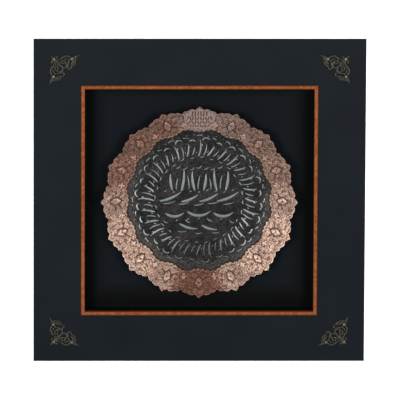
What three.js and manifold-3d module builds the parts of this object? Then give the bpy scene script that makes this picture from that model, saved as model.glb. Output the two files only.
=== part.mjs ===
// A framed wall plaque: a scalloped dish of engraved copper in a square black frame.
//
// The frame is 600 mm square. Four mitred rails carry a copper-coloured fillet at the edge of a deep recess,
// and a back panel closes them. The dish is one sheet of copper with sixteen medallions on its sloping rim and
// rows of raised strokes in its sunk well. A pierced brass ornament, held by three dome nails, sits on each
// corner of the face. A keyhole plate in the back of the top rail hangs it on the wall.
//
// Millimetres, +Z up. The face looks along -Y, the flat back lies at y = 0, and the origin is its centre.

import * as THREE from "three";
import { mergeVertices } from "three/addons/utils/BufferGeometryUtils.js";
import Module from "manifold-3d";

const wasm = await Module();
wasm.setup();

// Driving dimensions of the frame
const FRAME_SIZE = 600;
const FRAME_DEPTH = 40;
const RECESS_SIZE = 414;
const EDGE_CHAMFER = 1.2;
const SIDE_EDGE = 4;
const SIDE_SET_BACK = 10;
const FILLET_WIDTH = 7.2;
const FILLET_DEPTH = 8;
const FILLET_PROUD = 1.8;
const PANEL_THICKNESS = 7.7;
const PANEL_BEARING = 10;
const FIT_GAP = 0.3;
const MITRE_GAP = 0.2;

// Driving dimensions of the copper dish
const SEGMENTS = 16;
const DISH_DROP = 6;
const SHEET = 1.5;
const TIP_RADIUS = 178.1;
const RIM_SLOPE = 20 * (Math.PI / 180);
const LIP_RISE = 3.5;
const LIP_RADIUS = 130;
const LIP_SWING = 5.2;
const LIP_RUN = 4;
const MEDALLION_BULGE = 0.9;
const LOZENGE_RADIUS = 150.2;
const STAR_RADIUS = 142.8;
const BOSS_ROOT = 0.5;
const STROKE_RISE = 1.3;

// Driving dimensions of the ornaments and nails
const ORNAMENT_INSET = 30;
const ORNAMENT_SCALE = 1.04;
const ORNAMENT_THICKNESS = 1.5;
const NAIL_SEAT_RADIUS = 3.7;
const NAIL_HEAD_RADIUS = 2.8;
const NAIL_HEAD_HEIGHT = 2.1;
const NAIL_SHANK_RADIUS = 0.8;
const NAIL_LENGTH = 12;

// Places worked out from them
const HALF_FRAME = FRAME_SIZE / 2;
const HALF_RECESS = RECESS_SIZE / 2;
const RAIL_WIDTH = HALF_FRAME - HALF_RECESS;
const FACE_Y = -FRAME_DEPTH;
const PANEL_FRONT_Y = -PANEL_THICKNESS;
const WELL_BACK_Y = PANEL_FRONT_Y - FIT_GAP;
const WELL_Y = WELL_BACK_Y - SHEET;
const LIP_Y = WELL_Y - LIP_RISE;
const SEGMENT_ANGLE = (2 * Math.PI) / SEGMENTS;
const DEGREE = Math.PI / 180;

function material(color, roughness, metalness) {
  return new THREE.MeshStandardMaterial({ color, roughness, metalness });
}
const blackLacquer = () => material(0x15181b, 0.55, 0);
const copperPaint = () => material(0x9e5b31, 0.45, 0.4);
const panelBlack = () => material(0x101214, 0.7, 0);
const copper = () => material(0x9a7059, 0.4, 0.9);
const agedBrass = () => material(0x6b664a, 0.5, 0.8);
const nailBrass = () => material(0xb09a5c, 0.3, 0.9);
const zincSteel = () => material(0xa7aaad, 0.35, 0.9);

// A closed geometry from points and triangles, with its faces turned outwards
function closedGeometry(points, triangles) {
  const corner = (index) => points[index];
  const volume = triangles.reduce((sum, [a, b, c]) => {
    return sum + corner(a).dot(new THREE.Vector3().crossVectors(corner(b), corner(c)));
  }, 0);
  const outward = volume < 0 ? triangles.map(([a, b, c]) => [a, c, b]) : triangles;
  const geometry = new THREE.BufferGeometry();
  geometry.setAttribute("position", new THREE.Float32BufferAttribute(points.flatMap((p) => p.toArray()), 3));
  geometry.setIndex(outward.flat());
  return geometry;
}

function bareCopy(geometry) {
  const bare = geometry.clone();
  bare.deleteAttribute("normal");
  bare.deleteAttribute("uv");
  return bare;
}

function toSolid(geometry) {
  const merged = mergeVertices(bareCopy(geometry), 1e-4);
  const vertProperties = new Float32Array(merged.attributes.position.array);
  const triVerts = new Uint32Array(merged.index.array);
  return new wasm.Manifold(new wasm.Mesh({ numProp: 3, vertProperties, triVerts }));
}

function toGeometry(solid) {
  const mesh = solid.getMesh();
  const geometry = new THREE.BufferGeometry();
  geometry.setAttribute("position", new THREE.BufferAttribute(new Float32Array(mesh.vertProperties), 3));
  geometry.setIndex(new THREE.BufferAttribute(new Uint32Array(mesh.triVerts), 1));
  const flat = geometry.toNonIndexed();
  flat.computeVertexNormals();
  return flat;
}

const joined = (geometries) => geometries.map(toSolid).reduce((whole, solid) => whole.add(solid));

// A prism of a closed outline, given as [x, z] points, between two depths
function plate(outline, backY, frontY, holes = []) {
  const wind = (ring, anticlockwise) => {
    const points = ring.map(([x, z]) => new THREE.Vector2(x, z));
    return THREE.ShapeUtils.area(points) > 0 === anticlockwise ? points : points.reverse();
  };
  const rings = [wind(outline, true), ...holes.map((hole) => wind(hole, false))];
  const flat = rings.flat();
  const count = flat.length;
  const atDepth = (y) => flat.map((point) => new THREE.Vector3(point.x, y, point.y));
  const points = [...atDepth(frontY), ...atDepth(backY)];
  const triangles = [];
  for (const [a, b, c] of THREE.ShapeUtils.triangulateShape(rings[0], rings.slice(1))) {
    triangles.push([a, b, c], [a + count, c + count, b + count]);
  }
  let start = 0;
  for (const ring of rings) {
    for (let index = 0; index < ring.length; index += 1) {
      const near = start + index;
      const next = start + ((index + 1) % ring.length);
      triangles.push([next, near, near + count], [next, near + count, next + count]);
    }
    start += ring.length;
  }
  return closedGeometry(points, triangles);
}

function ringOutline(x, z, radius, sides) {
  return Array.from({ length: sides }, (_, step) => {
    const angle = (step / sides) * 2 * Math.PI;
    return [x + radius * Math.cos(angle), z + radius * Math.sin(angle)];
  });
}

// A flat ribbon along a centre line, with its own half width at each point
function ribbon(centres, halfWidths, backY, frontY) {
  const points = [];
  const triangles = [];
  const last = centres.length - 1;
  centres.forEach(([x, z], index) => {
    const [beforeX, beforeZ] = centres[Math.max(index - 1, 0)];
    const [afterX, afterZ] = centres[Math.min(index + 1, last)];
    const run = Math.hypot(afterX - beforeX, afterZ - beforeZ);
    const acrossX = (-(afterZ - beforeZ) / run) * halfWidths[index];
    const acrossZ = ((afterX - beforeX) / run) * halfWidths[index];
    for (const y of [backY, frontY]) {
      points.push(new THREE.Vector3(x + acrossX, y, z + acrossZ));
      points.push(new THREE.Vector3(x - acrossX, y, z - acrossZ));
    }
  });
  const quad = (a, b, c, d) => triangles.push([a, b, c], [a, c, d]);
  for (let index = 0; index < last; index += 1) {
    const near = 4 * index;
    const far = near + 4;
    quad(near, near + 1, far + 1, far);
    quad(near + 2, far + 2, far + 3, near + 3);
    quad(near, far, far + 2, near + 2);
    quad(near + 1, near + 3, far + 3, far + 1);
  }
  quad(0, 2, 3, 1);
  quad(4 * last, 4 * last + 1, 4 * last + 3, 4 * last + 2);
  return closedGeometry(points, triangles);
}

// A ribbon through a few hand-set points, as [x, z, half width]
function band(knots, steps, backY, frontY) {
  const curve = new THREE.CatmullRomCurve3(knots.map(([x, z, half]) => new THREE.Vector3(x, half, z)));
  const samples = curve.getPoints(steps);
  const centres = samples.map((sample) => [sample.x, sample.z]);
  return ribbon(centres, samples.map((sample) => Math.max(sample.y, 0.2)), backY, frontY);
}

// A bar with mitred ends along the top of a square. Its section is [distance in from the edge, y] points.
function mitredBar(section) {
  const outline = section.map(([inward, y]) => new THREE.Vector2(inward, y));
  const count = section.length;
  const points = [-1, 1].flatMap((end) => section.map(([inward, y]) => {
    return new THREE.Vector3(end * (HALF_FRAME - inward - MITRE_GAP), y, HALF_FRAME - inward);
  }));
  const triangles = [];
  for (const [a, b, c] of THREE.ShapeUtils.triangulateShape(outline, [])) {
    triangles.push([a, c, b], [a + count, b + count, c + count]);
  }
  for (let index = 0; index < count; index += 1) {
    const next = (index + 1) % count;
    triangles.push([index, next, next + count], [index, next + count, index + count]);
  }
  return closedGeometry(points, triangles);
}

// Frame rails: a wide flat face, a side that leans in towards the wall behind its front edge, a front rebate
// for the fillet and a back rebate for the panel
const railSection = [
  [SIDE_SET_BACK, 0],
  [0, FACE_Y + SIDE_EDGE],
  [0, FACE_Y + EDGE_CHAMFER],
  [EDGE_CHAMFER, FACE_Y],
  [RAIL_WIDTH - FILLET_WIDTH, FACE_Y],
  [RAIL_WIDTH - FILLET_WIDTH, FACE_Y + FILLET_DEPTH],
  [RAIL_WIDTH, FACE_Y + FILLET_DEPTH],
  [RAIL_WIDTH, PANEL_FRONT_Y - FIT_GAP],
  [RAIL_WIDTH - PANEL_BEARING, PANEL_FRONT_Y - FIT_GAP],
  [RAIL_WIDTH - PANEL_BEARING, 0],
];

// Fillet strips: a rounded bead that stands a little proud of the face
function filletSection() {
  const outer = RAIL_WIDTH - FILLET_WIDTH + FIT_GAP;
  const middle = (outer + RAIL_WIDTH) / 2;
  const half = (RAIL_WIDTH - outer) / 2;
  const crown = Array.from({ length: 6 }, (_, step) => {
    const angle = (step / 5) * Math.PI;
    return [middle - half * Math.cos(angle), FACE_Y - FILLET_PROUD * Math.sin(angle)];
  });
  const backY = FACE_Y + FILLET_DEPTH - FIT_GAP;
  return [[outer, backY], ...crown, [RAIL_WIDTH, backY]];
}

// Corner ornament, drawn in the top left corner from its outer corner point, x inwards and z downwards. The
// drawing's places are enlarged by ORNAMENT_SCALE, and its widths are real.
const CORNER_NAIL = [6.5, -6.5];
const ARM_NAIL = [37.9, -6];
const SCROLL_EYE = [23.8, -11.4];
const SCROLL_RADIUS = 4.1;
const EYE_RADIUS = 1.7;
const ornamentBackY = FACE_Y - FIT_GAP;
const ornamentFrontY = ornamentBackY - ORNAMENT_THICKNESS;

const armBands = {
  outerSideOfScroll: { steps: 5, knots: [
    [7, -6.8, 1.6], [12.7, -7.9, 0.9], [17.5, -6.3, 0.9], [23, -2.6, 1.3],
    [28.5, -0.8, 1.6], [33.3, -2.6, 1.5], [37.5, -5.4, 1.3]] },
  innerSideOfScroll: { steps: 6, knots: [
    [7, -7.2, 1.4], [12, -12.2, 1.3], [17.3, -17.4, 1.4], [20.6, -20.9, 1.4],
    [26.4, -21.9, 1.8], [30.4, -19.6, 1.5], [31.8, -14.2, 1.3], [33, -9.5, 1.2], [36.5, -6.6, 1.2]] },
  bridgeFromEye: { steps: 1, knots: [[20.6, -9.6, 1], [22.4, -3.2, 1.1]] },
  webFromEye: { steps: 1, knots: [[27.2, -12, 1.4], [28.6, -20, 2]] },
  pointedTip: { steps: 1, knots: [[39, -4.4, 2.4], [51, 0.9, 0.2]] },
  endLeaf: { steps: 3, knots: [
    [45.6, -1.4, 1.4], [43, -5.8, 3], [42.6, -11, 2.8], [41.4, -15.8, 2.7], [37.2, -20.4, 0.9]] },
  knob: { steps: 3, knots: [
    [30.6, -20.6, 1.2], [32, -23.6, 1.2], [33.9, -25, 1.2], [35.9, -23.8, 1.1], [37.4, -20.4, 1]] },
  smallLobe: { steps: 1, knots: [[8, -5.4, 1.9], [13.2, -1.2, 1]] },
};
const cornerLobe = [[6.5, -6.5, 2.2], [4, -4, 1.7], [1.8, -1.8, 0.9]];

// The other arm is the same drawing turned over the corner's diagonal
const acrossDiagonal = ([x, z, ...rest]) => [-z, -x, ...rest];
const enlarged = ([x, z, ...rest]) => [x * ORNAMENT_SCALE, z * ORNAMENT_SCALE, ...rest];
const nailPlaces = [CORNER_NAIL, ARM_NAIL, acrossDiagonal(ARM_NAIL)].map(enlarged);

function cornerOrnament() {
  const disc = (x, z, radius, holes) => {
    return plate(ringOutline(x, z, radius, 8), ornamentBackY, ornamentFrontY, holes);
  };
  const strip = (knots, steps) => band(knots, steps, ornamentBackY, ornamentFrontY);
  const pieces = nailPlaces.map(([x, z]) => disc(x, z, NAIL_SEAT_RADIUS));
  pieces.push(strip(cornerLobe.map(enlarged), 2));
  for (const arm of [enlarged, (point) => acrossDiagonal(enlarged(point))]) {
    const [eyeX, eyeZ] = arm(SCROLL_EYE);
    pieces.push(disc(eyeX, eyeZ, SCROLL_RADIUS, [ringOutline(eyeX, eyeZ, EYE_RADIUS, 6)]));
    Object.values(armBands).forEach(({ knots, steps }) => pieces.push(strip(knots.map(arm), steps)));
  }
  return toGeometry(joined(pieces).subtract(nailHoles(ornamentBackY + 1, ornamentFrontY - 1)));
}

// Holes for one corner's three nails, a little wider than their shanks
function nailHoles(backY, frontY) {
  const radius = NAIL_SHANK_RADIUS + 2 * FIT_GAP;
  return joined(nailPlaces.map(([x, z]) => plate(ringOutline(x, z, radius, 6), backY, frontY)));
}

// Dome nail along its own y axis, head at the front and seat at y = 0
function domeNail() {
  const profile = [new THREE.Vector2(0, NAIL_LENGTH), new THREE.Vector2(NAIL_SHANK_RADIUS, 0)];
  for (const angle of [0, Math.PI / 4]) {
    profile.push(new THREE.Vector2(NAIL_HEAD_RADIUS * Math.cos(angle), -NAIL_HEAD_HEIGHT * Math.sin(angle)));
  }
  profile.push(new THREE.Vector2(0, -NAIL_HEAD_HEIGHT));
  return turned(profile, 8);
}

// A turned piece round the y axis from a profile that starts and ends on it
function turned(profile, sides) {
  const lathe = mergeVertices(bareCopy(new THREE.LatheGeometry(profile, sides)), 1e-4);
  const points = [];
  const { position } = lathe.attributes;
  for (let index = 0; index < position.count; index += 1) {
    points.push(new THREE.Vector3().fromBufferAttribute(position, index));
  }
  const corners = Array.from(lathe.index.array);
  const triangles = [];
  for (let start = 0; start < corners.length; start += 3) {
    const [a, b, c] = corners.slice(start, start + 3);
    if (a !== b && b !== c && c !== a) {
      triangles.push([a, b, c]);
    }
  }
  return closedGeometry(points, triangles);
}

// Dish outline: a pointed lobe on each medallion's middle line and two scallops on each side of it
const LOBES = [
  { from: 0, to: 2.6, start: TIP_RADIUS, end: 171.6, bulge: 0.5 },
  { from: 2.6, to: 7.4, start: 171.6, end: 170.2, bulge: 2.8 },
  { from: 7.4, to: 11.25, start: 170.2, end: 165.8, bulge: 2.4 },
];

function outlineRadius(angle) {
  const offset = Math.abs(offCentre(angle)) / DEGREE;
  const lobe = LOBES.find(({ to }) => offset <= to + 1e-6) ?? LOBES[LOBES.length - 1];
  const share = (offset - lobe.from) / (lobe.to - lobe.from);
  return lobe.start + (lobe.end - lobe.start) * share + lobe.bulge * Math.sin(Math.PI * share);
}

// Angle from the middle line of the nearest medallion
function offCentre(angle) {
  return angle - SEGMENT_ANGLE * Math.round(angle / SEGMENT_ANGLE);
}

function lipRadius(angle) {
  return LIP_RADIUS + (LIP_SWING * (1 - Math.cos(SEGMENTS * angle))) / 2;
}

// Height of the rim's surface, a cone that swells on each medallion
function rimY(angle, radius) {
  const share = (radius - lipRadius(angle)) / (outlineRadius(angle) - lipRadius(angle));
  const swell = MEDALLION_BULGE * Math.cos(SEGMENTS * angle) * Math.sin(Math.PI * share);
  return LIP_Y - (radius - LIP_RADIUS) * Math.tan(RIM_SLOPE) - swell;
}

function polar(radius, angle, y) {
  return new THREE.Vector3(radius * Math.sin(angle), y, radius * Math.cos(angle) - DISH_DROP);
}

// Angles where the outline turns, so that each lobe keeps its form
const HALF_STEPS = [0, 1.3, 2.6, 5, 7.4, 9.3, 11.25];
function outlineAngles() {
  const upper = HALF_STEPS.slice(0, -1);
  const lower = HALF_STEPS.slice(1).reverse().map((step) => SEGMENT_ANGLE / DEGREE - step);
  const steps = [...upper, ...lower];
  return Array.from({ length: SEGMENTS }, (_, segment) => segment)
    .flatMap((segment) => steps.map((step) => segment * SEGMENT_ANGLE + step * DEGREE));
}

// The dish's sheet: rings of points from the middle of the well out over the rim and back underneath
function dishSheet() {
  const fine = outlineAngles();
  const half = fine.filter((_, index) => index % 2 === 0);
  const quarter = fine.filter((_, index) => index % 4 === 0);
  const atShare = (share) => (angle) => lipRadius(angle) + share * (outlineRadius(angle) - lipRadius(angle));
  const rimRing = (angles, share, lift) => angles.map((angle) => {
    const radius = atShare(share)(angle);
    return polar(radius, angle, rimY(angle, radius) + lift);
  });
  const wellRing = (angles, inset, y) => angles.map((angle) => polar(lipRadius(angle) - inset, angle, y));
  return surface([
    [polar(0, 0, WELL_Y)],
    wellRing(half, LIP_RUN, WELL_Y),
    rimRing(half, 0, 0),
    rimRing(half, 0.35, 0),
    rimRing(half, 0.75, 0),
    rimRing(fine, 1, 0),
    rimRing(fine, 1, SHEET),
    rimRing(quarter, 0.4, SHEET),
    wellRing(quarter, 0, LIP_Y + SHEET),
    wellRing(quarter, LIP_RUN, WELL_BACK_Y),
    [polar(0, 0, WELL_BACK_Y)],
  ]);
}

// Joins rings of points in order. Neighbouring rings may differ in count by a whole number of times.
function surface(rings) {
  const points = rings.flat();
  const triangles = [];
  const starts = [];
  rings.reduce((start, ring) => {
    starts.push(start);
    return start + ring.length;
  }, 0);
  for (let row = 0; row < rings.length - 1; row += 1) {
    const widens = rings[row].length < rings[row + 1].length;
    const few = widens ? row : row + 1;
    const many = widens ? row + 1 : row;
    const at = (ring, index) => starts[ring] + (index % rings[ring].length);
    const add = (a, b, c) => triangles.push(widens ? [a, b, c] : [a, c, b]);
    const ratio = rings[many].length / rings[few].length;
    const turn = rings[few].length === 1 ? ratio : Math.floor(ratio / 2);
    for (let index = 0; index < rings[few].length; index += 1) {
      for (let step = 0; step < ratio; step += 1) {
        const pivot = step < turn ? index : index + 1;
        add(at(few, pivot), at(many, ratio * index + step + 1), at(many, ratio * index + step));
      }
      if (rings[few].length > 1) {
        add(at(few, index), at(few, index + 1), at(many, ratio * index + turn));
      }
    }
  }
  return closedGeometry(points, triangles);
}

// A low faceted boss on the rim, from its [outward, sideways] outline and one raised point on its middle line
function boss(angle, radius, outline, ridge, rise) {
  const at = (outward, sideways, lift) => {
    const reach = radius + outward * Math.cos(RIM_SLOPE);
    const base = rimY(angle, radius) - outward * Math.sin(RIM_SLOPE);
    const point = new THREE.Vector3(sideways, base - lift, reach);
    return point.applyAxisAngle(new THREE.Vector3(0, 1, 0), angle).add(new THREE.Vector3(0, 0, -DISH_DROP));
  };
  const edge = outline.map(([outward, sideways]) => at(outward, sideways, -BOSS_ROOT));
  return surface([[at(0, 0, -2 * BOSS_ROOT)], edge, [at(ridge, 0, rise)]]);
}

// Leaf-shaped lozenge in the middle of each medallion
function lozenge(angle) {
  const outline = [[9.8, 0], [1, 5.9], [-4, 4.8], [-9.9, 0], [-4, -4.8], [1, -5.9]];
  return boss(angle, LOZENGE_RADIUS, outline, 0.8, 2.4);
}

// Four-pointed star where two medallions meet
function star(angle) {
  const outline = Array.from({ length: 8 }, (_, step) => {
    const reach = step % 2 === 0 ? 7.6 : 3.2;
    const turn = (step / 8) * 2 * Math.PI;
    return [reach * Math.cos(turn), reach * Math.sin(turn)];
  });
  return boss(angle, STAR_RADIUS, outline, 0, 2);
}

// A stroke's width along its length: narrow at both ends and fullest before its middle
function strokeSwell(share) {
  return Math.sin(Math.PI * (0.06 + 0.88 * share)) ** 0.6 * (1.1 - 0.45 * share);
}

// A raised stroke in the well. Its centre line turns evenly from end to end, and its width swells and tapers.
function wellStroke({ x, z, length, heading, bend, halfWidth }, steps) {
  const centres = [[0, 0]];
  for (let step = 0; step < steps; step += 1) {
    const share = (step + 0.5) / steps;
    const way = (heading + bend * (share - 0.5)) * DEGREE;
    const [lastX, lastZ] = centres[centres.length - 1];
    const run = length / steps;
    centres.push([lastX + run * Math.cos(way), lastZ + run * Math.sin(way)]);
  }
  const middleX = (centres[0][0] + centres[steps][0]) / 2;
  const middleZ = (centres[0][1] + centres[steps][1]) / 2;
  const placed = centres.map(([cx, cz]) => [cx - middleX + x, cz - middleZ + z - DISH_DROP]);
  const widths = placed.map((_, step) => Math.max(halfWidth * strokeSwell(step / steps), 0.3));
  return ribbon(placed, widths, WELL_Y + SHEET / 2, WELL_Y - STROKE_RISE);
}

// A row of large strokes across the middle of the well. They lean by turns where the row alternates.
function middleRow({ count, reach, z, length, heading, bend, halfWidth, alternates }) {
  return Array.from({ length: count }, (_, index) => {
    const sway = Math.cos(2.1 * index + 0.1 * z);
    const leansBack = alternates && index % 2 === 1;
    return {
      x: count > 1 ? reach * ((2 * index) / (count - 1) - 1) : 0,
      z: z + 2 * sway,
      length: length * (1 + 0.14 * sway),
      heading: leansBack ? 180 - heading : heading,
      bend: leansBack ? -bend : bend,
      halfWidth,
    };
  });
}

// A row of strokes round the well. Heading 90 points away from the centre, and 0 runs round the ring.
function ringRow({ count, radius, length, heading, bend, halfWidth, start }) {
  return Array.from({ length: count }, (_, index) => {
    const around = ((index + start) / count) * 360;
    const sway = Math.cos(2.4 * index + start);
    const reach = radius + 1.5 * sway;
    return {
      x: reach * Math.sin(around * DEGREE),
      z: reach * Math.cos(around * DEGREE),
      length: length * (1 + 0.18 * sway),
      heading: heading + 9 * sway - around,
      bend: bend * (1 + 0.2 * sway),
      halfWidth,
    };
  });
}

// The well's strokes: uprights, sweeps, bowls and low sweeps in its middle, then uprights and curls round it
const MIDDLE_ROWS = [
  { count: 6, reach: 50, z: 35, length: 36, heading: 97, bend: -24, halfWidth: 3.3, alternates: true },
  { count: 4, reach: 52, z: 5, length: 38, heading: 24, bend: 36, halfWidth: 3.6 },
  { count: 3, reach: 44, z: -23, length: 40, heading: 2, bend: 84, halfWidth: 3.8 },
  { count: 2, reach: 19, z: -49, length: 34, heading: -16, bend: 40, halfWidth: 3.4 },
];
const RING_ROWS = [
  { count: 28, radius: 95, length: 26, heading: 76, bend: 34, halfWidth: 2.2, start: 0 },
  { count: 28, radius: 110.5, length: 15, heading: 0, bend: -120, halfWidth: 1.9, start: 0.5 },
];

function wellStrokes() {
  const middle = MIDDLE_ROWS.flatMap(middleRow).map((stroke) => wellStroke(stroke, 4));
  const rings = RING_ROWS.flatMap(ringRow).map((stroke) => wellStroke(stroke, 2));
  return [...middle, ...rings];
}

function plaqueGeometry() {
  let dish = toSolid(dishSheet());
  for (let segment = 0; segment < SEGMENTS; segment += 1) {
    if (segment > 0) {
      dish = dish.add(toSolid(lozenge(segment * SEGMENT_ANGLE)));
    }
    dish = dish.add(toSolid(star((segment + 0.5) * SEGMENT_ANGLE)));
  }
  for (const stroke of wellStrokes()) {
    dish = dish.add(toSolid(stroke));
  }
  return toGeometry(dish);
}

// Hanger: a keyhole plate let in flush, the pocket and nail space behind it, and two countersunk screws
const PLATE_Z = HALF_FRAME - 45;
const PLATE_HALF_WIDTH = 10;
const PLATE_HALF_HEIGHT = 30;
const PLATE_THICKNESS = 1.6;
const ENTRY_RADIUS = 4.5;
const SLOT_HALF_WIDTH = 2.2;
const SLOT_BOTTOM_Z = PLATE_Z - 12;
const SLOT_TOP_Z = PLATE_Z + 1;
const NAIL_SPACE_DEPTH = 10;
const SCREW_SPREAD = 24;
const SCREW_HEAD_RADIUS = 2.9;
const SCREW_SHANK_RADIUS = 1.4;
const SCREW_LENGTH = 14;

const rectangle = (halfWidth, lowZ, highZ) => {
  return [[-halfWidth, lowZ], [halfWidth, lowZ], [halfWidth, highZ], [-halfWidth, highZ]];
};

// Countersunk screw along the y axis, head flush at y = 0. A fit gap makes it the hole's shape.
function screwAt(side, gap) {
  const head = SCREW_HEAD_RADIUS + gap;
  const shank = SCREW_SHANK_RADIUS + gap;
  const profile = [
    new THREE.Vector2(0, -SCREW_LENGTH - gap), new THREE.Vector2(shank, 2 - SCREW_LENGTH - gap),
    new THREE.Vector2(shank, shank - head), new THREE.Vector2(head, 0), new THREE.Vector2(0, gap),
  ];
  return turned(profile, 8).translate(0, 0, PLATE_Z + side * SCREW_SPREAD);
}

function hangerPlate() {
  const outline = rectangle(PLATE_HALF_WIDTH, PLATE_Z - PLATE_HALF_HEIGHT, PLATE_Z + PLATE_HALF_HEIGHT);
  const entry = plate(ringOutline(0, SLOT_BOTTOM_Z, ENTRY_RADIUS, 12), 1, -PLATE_THICKNESS - 1);
  const slot = plate(rectangle(SLOT_HALF_WIDTH, SLOT_BOTTOM_Z, SLOT_TOP_Z), 1, -PLATE_THICKNESS - 1);
  const cuts = joined([entry, slot, screwAt(-1, FIT_GAP), screwAt(1, FIT_GAP)]);
  return toGeometry(toSolid(plate(outline, 0, -PLATE_THICKNESS)).subtract(cuts));
}

function hangerPocket() {
  const halfWidth = PLATE_HALF_WIDTH + FIT_GAP;
  const halfHeight = PLATE_HALF_HEIGHT + FIT_GAP;
  const bedOutline = rectangle(halfWidth, PLATE_Z - halfHeight, PLATE_Z + halfHeight);
  const bed = plate(bedOutline, 1, -PLATE_THICKNESS - FIT_GAP);
  const nailSpace = plate(rectangle(6, SLOT_BOTTOM_Z - 6, SLOT_TOP_Z + 4), 1, -NAIL_SPACE_DEPTH);
  return joined([bed, nailSpace, screwAt(-1, FIT_GAP), screwAt(1, FIT_GAP)]);
}

// A rail with its nail holes at both ends, and the top rail with the hanger's pocket too
function railGeometry(isTop) {
  const intoCorner = HALF_FRAME - ORNAMENT_INSET;
  const holes = nailHoles(FACE_Y + NAIL_LENGTH, FACE_Y - 1);
  const leftHoles = toSolid(toGeometry(holes).translate(-intoCorner, 0, intoCorner));
  const rightHoles = toSolid(toGeometry(holes).rotateY(Math.PI / 2).translate(intoCorner, 0, intoCorner));
  const rail = toSolid(mitredBar(railSection)).subtract(leftHoles).subtract(rightHoles);
  return toGeometry(isTop ? rail.subtract(hangerPocket()) : rail);
}

function backPanel() {
  const half = HALF_RECESS + PANEL_BEARING - FIT_GAP;
  return plate(rectangle(half, -half, half), 0, PANEL_FRONT_Y);
}

// The assembled plaque
const object = new THREE.Group();

function addMesh(parent, name, geometry, look) {
  const mesh = new THREE.Mesh(geometry, look);
  mesh.name = name;
  parent.add(mesh);
  return mesh;
}

["top", "right", "bottom", "left"].forEach((side, turns) => {
  const edge = new THREE.Group();
  edge.rotation.y = (turns * Math.PI) / 2;
  addMesh(edge, `rail_${side}`, railGeometry(side === "top"), blackLacquer());
  addMesh(edge, `fillet_${side}`, mitredBar(filletSection()), copperPaint());
  object.add(edge);
});

["top_left", "top_right", "bottom_right", "bottom_left"].forEach((corner, turns) => {
  const edge = new THREE.Group();
  edge.rotation.y = (turns * Math.PI) / 2;
  const drawing = new THREE.Group();
  drawing.position.set(ORNAMENT_INSET - HALF_FRAME, 0, HALF_FRAME - ORNAMENT_INSET);
  addMesh(drawing, `ornament_${corner}`, cornerOrnament(), agedBrass());
  nailPlaces.forEach(([x, z], index) => {
    const nail = addMesh(drawing, `nail_${corner}_${index + 1}`, domeNail(), nailBrass());
    nail.position.set(x, ornamentFrontY - FIT_GAP, z);
  });
  edge.add(drawing);
  object.add(edge);
});

addMesh(object, "back_panel", backPanel(), panelBlack());
addMesh(object, "copper_plaque", plaqueGeometry(), copper());
addMesh(object, "hanger_plate", hangerPlate(), zincSteel());
addMesh(object, "hanger_screw_lower", screwAt(-1, 0), zincSteel());
addMesh(object, "hanger_screw_upper", screwAt(1, 0), zincSteel());

export default object;
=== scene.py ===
# Looks of the framed copper plaque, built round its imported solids: a lobed dish of engraved copper with a
# blackened well and rows of silvered strokes, in a black lacquered frame with a copper-painted fillet and
# four pierced brass corners.
#
# Metres, +Z up. The face looks along -Y, the back lies at y = 0, and the origin is the back's centre.

import math

import bmesh
import bpy
import numpy as np
from mathutils import Matrix, Vector


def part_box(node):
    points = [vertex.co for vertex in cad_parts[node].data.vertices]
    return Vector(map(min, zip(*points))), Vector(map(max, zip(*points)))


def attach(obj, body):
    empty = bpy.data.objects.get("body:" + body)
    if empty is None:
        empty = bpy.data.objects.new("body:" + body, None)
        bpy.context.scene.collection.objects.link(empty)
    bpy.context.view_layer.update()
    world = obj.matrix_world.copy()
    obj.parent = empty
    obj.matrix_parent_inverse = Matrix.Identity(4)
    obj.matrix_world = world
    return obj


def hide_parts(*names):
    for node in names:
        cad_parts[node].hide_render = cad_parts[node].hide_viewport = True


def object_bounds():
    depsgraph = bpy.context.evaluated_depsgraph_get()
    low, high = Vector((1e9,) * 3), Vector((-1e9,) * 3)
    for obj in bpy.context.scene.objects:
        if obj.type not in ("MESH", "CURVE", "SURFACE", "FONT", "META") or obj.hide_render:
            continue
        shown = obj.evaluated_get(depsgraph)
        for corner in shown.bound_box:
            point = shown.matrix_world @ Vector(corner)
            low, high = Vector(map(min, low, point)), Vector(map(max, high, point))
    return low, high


bl_info = {
    "name": "Framed Copper Plaque",
    "version": (1, 0, 0),
    "blender": (4, 5, 0),
    "location": "View3D > Sidebar > Plaque",
    "description": "Dresses the solids of a framed copper plaque: relief, finishes, light and camera",
    "category": "Add Mesh",
}

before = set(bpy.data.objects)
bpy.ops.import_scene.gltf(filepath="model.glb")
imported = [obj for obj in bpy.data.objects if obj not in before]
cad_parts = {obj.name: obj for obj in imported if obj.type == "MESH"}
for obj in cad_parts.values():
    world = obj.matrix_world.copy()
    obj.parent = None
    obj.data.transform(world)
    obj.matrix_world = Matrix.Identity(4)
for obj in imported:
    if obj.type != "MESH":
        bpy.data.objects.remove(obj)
CAD_LOW, CAD_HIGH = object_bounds()

MM = 0.001
DEGREE = math.pi / 180
BODY = "root"
CORNERS = ("top_left", "top_right", "bottom_right", "bottom_left")
SIDES = ("top", "right", "bottom", "left")

# Frame, from the solids
HALF_FRAME = CAD_HIGH.x
FACE_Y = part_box("rail_top")[0].y
HALF_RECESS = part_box("rail_top")[0].z
RAIL_WIDTH = HALF_FRAME - HALF_RECESS
PANEL_FRONT_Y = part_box("back_panel")[0].y
PANEL_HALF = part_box("back_panel")[1].x
FILLET_OUTER = HALF_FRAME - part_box("fillet_top")[1].z
FILLET_BACK_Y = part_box("fillet_top")[1].y
FIT_GAP = 0.3 * MM
JOINT_GAP = 0.03 * MM
SIDE_EDGE = 4 * MM
SIDE_SET_BACK = 10 * MM
BACK_EDGE_RADIUS = 0.8 * MM
FILLET_WIDTH = 7.2 * MM
FILLET_DEPTH = 8 * MM

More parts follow.
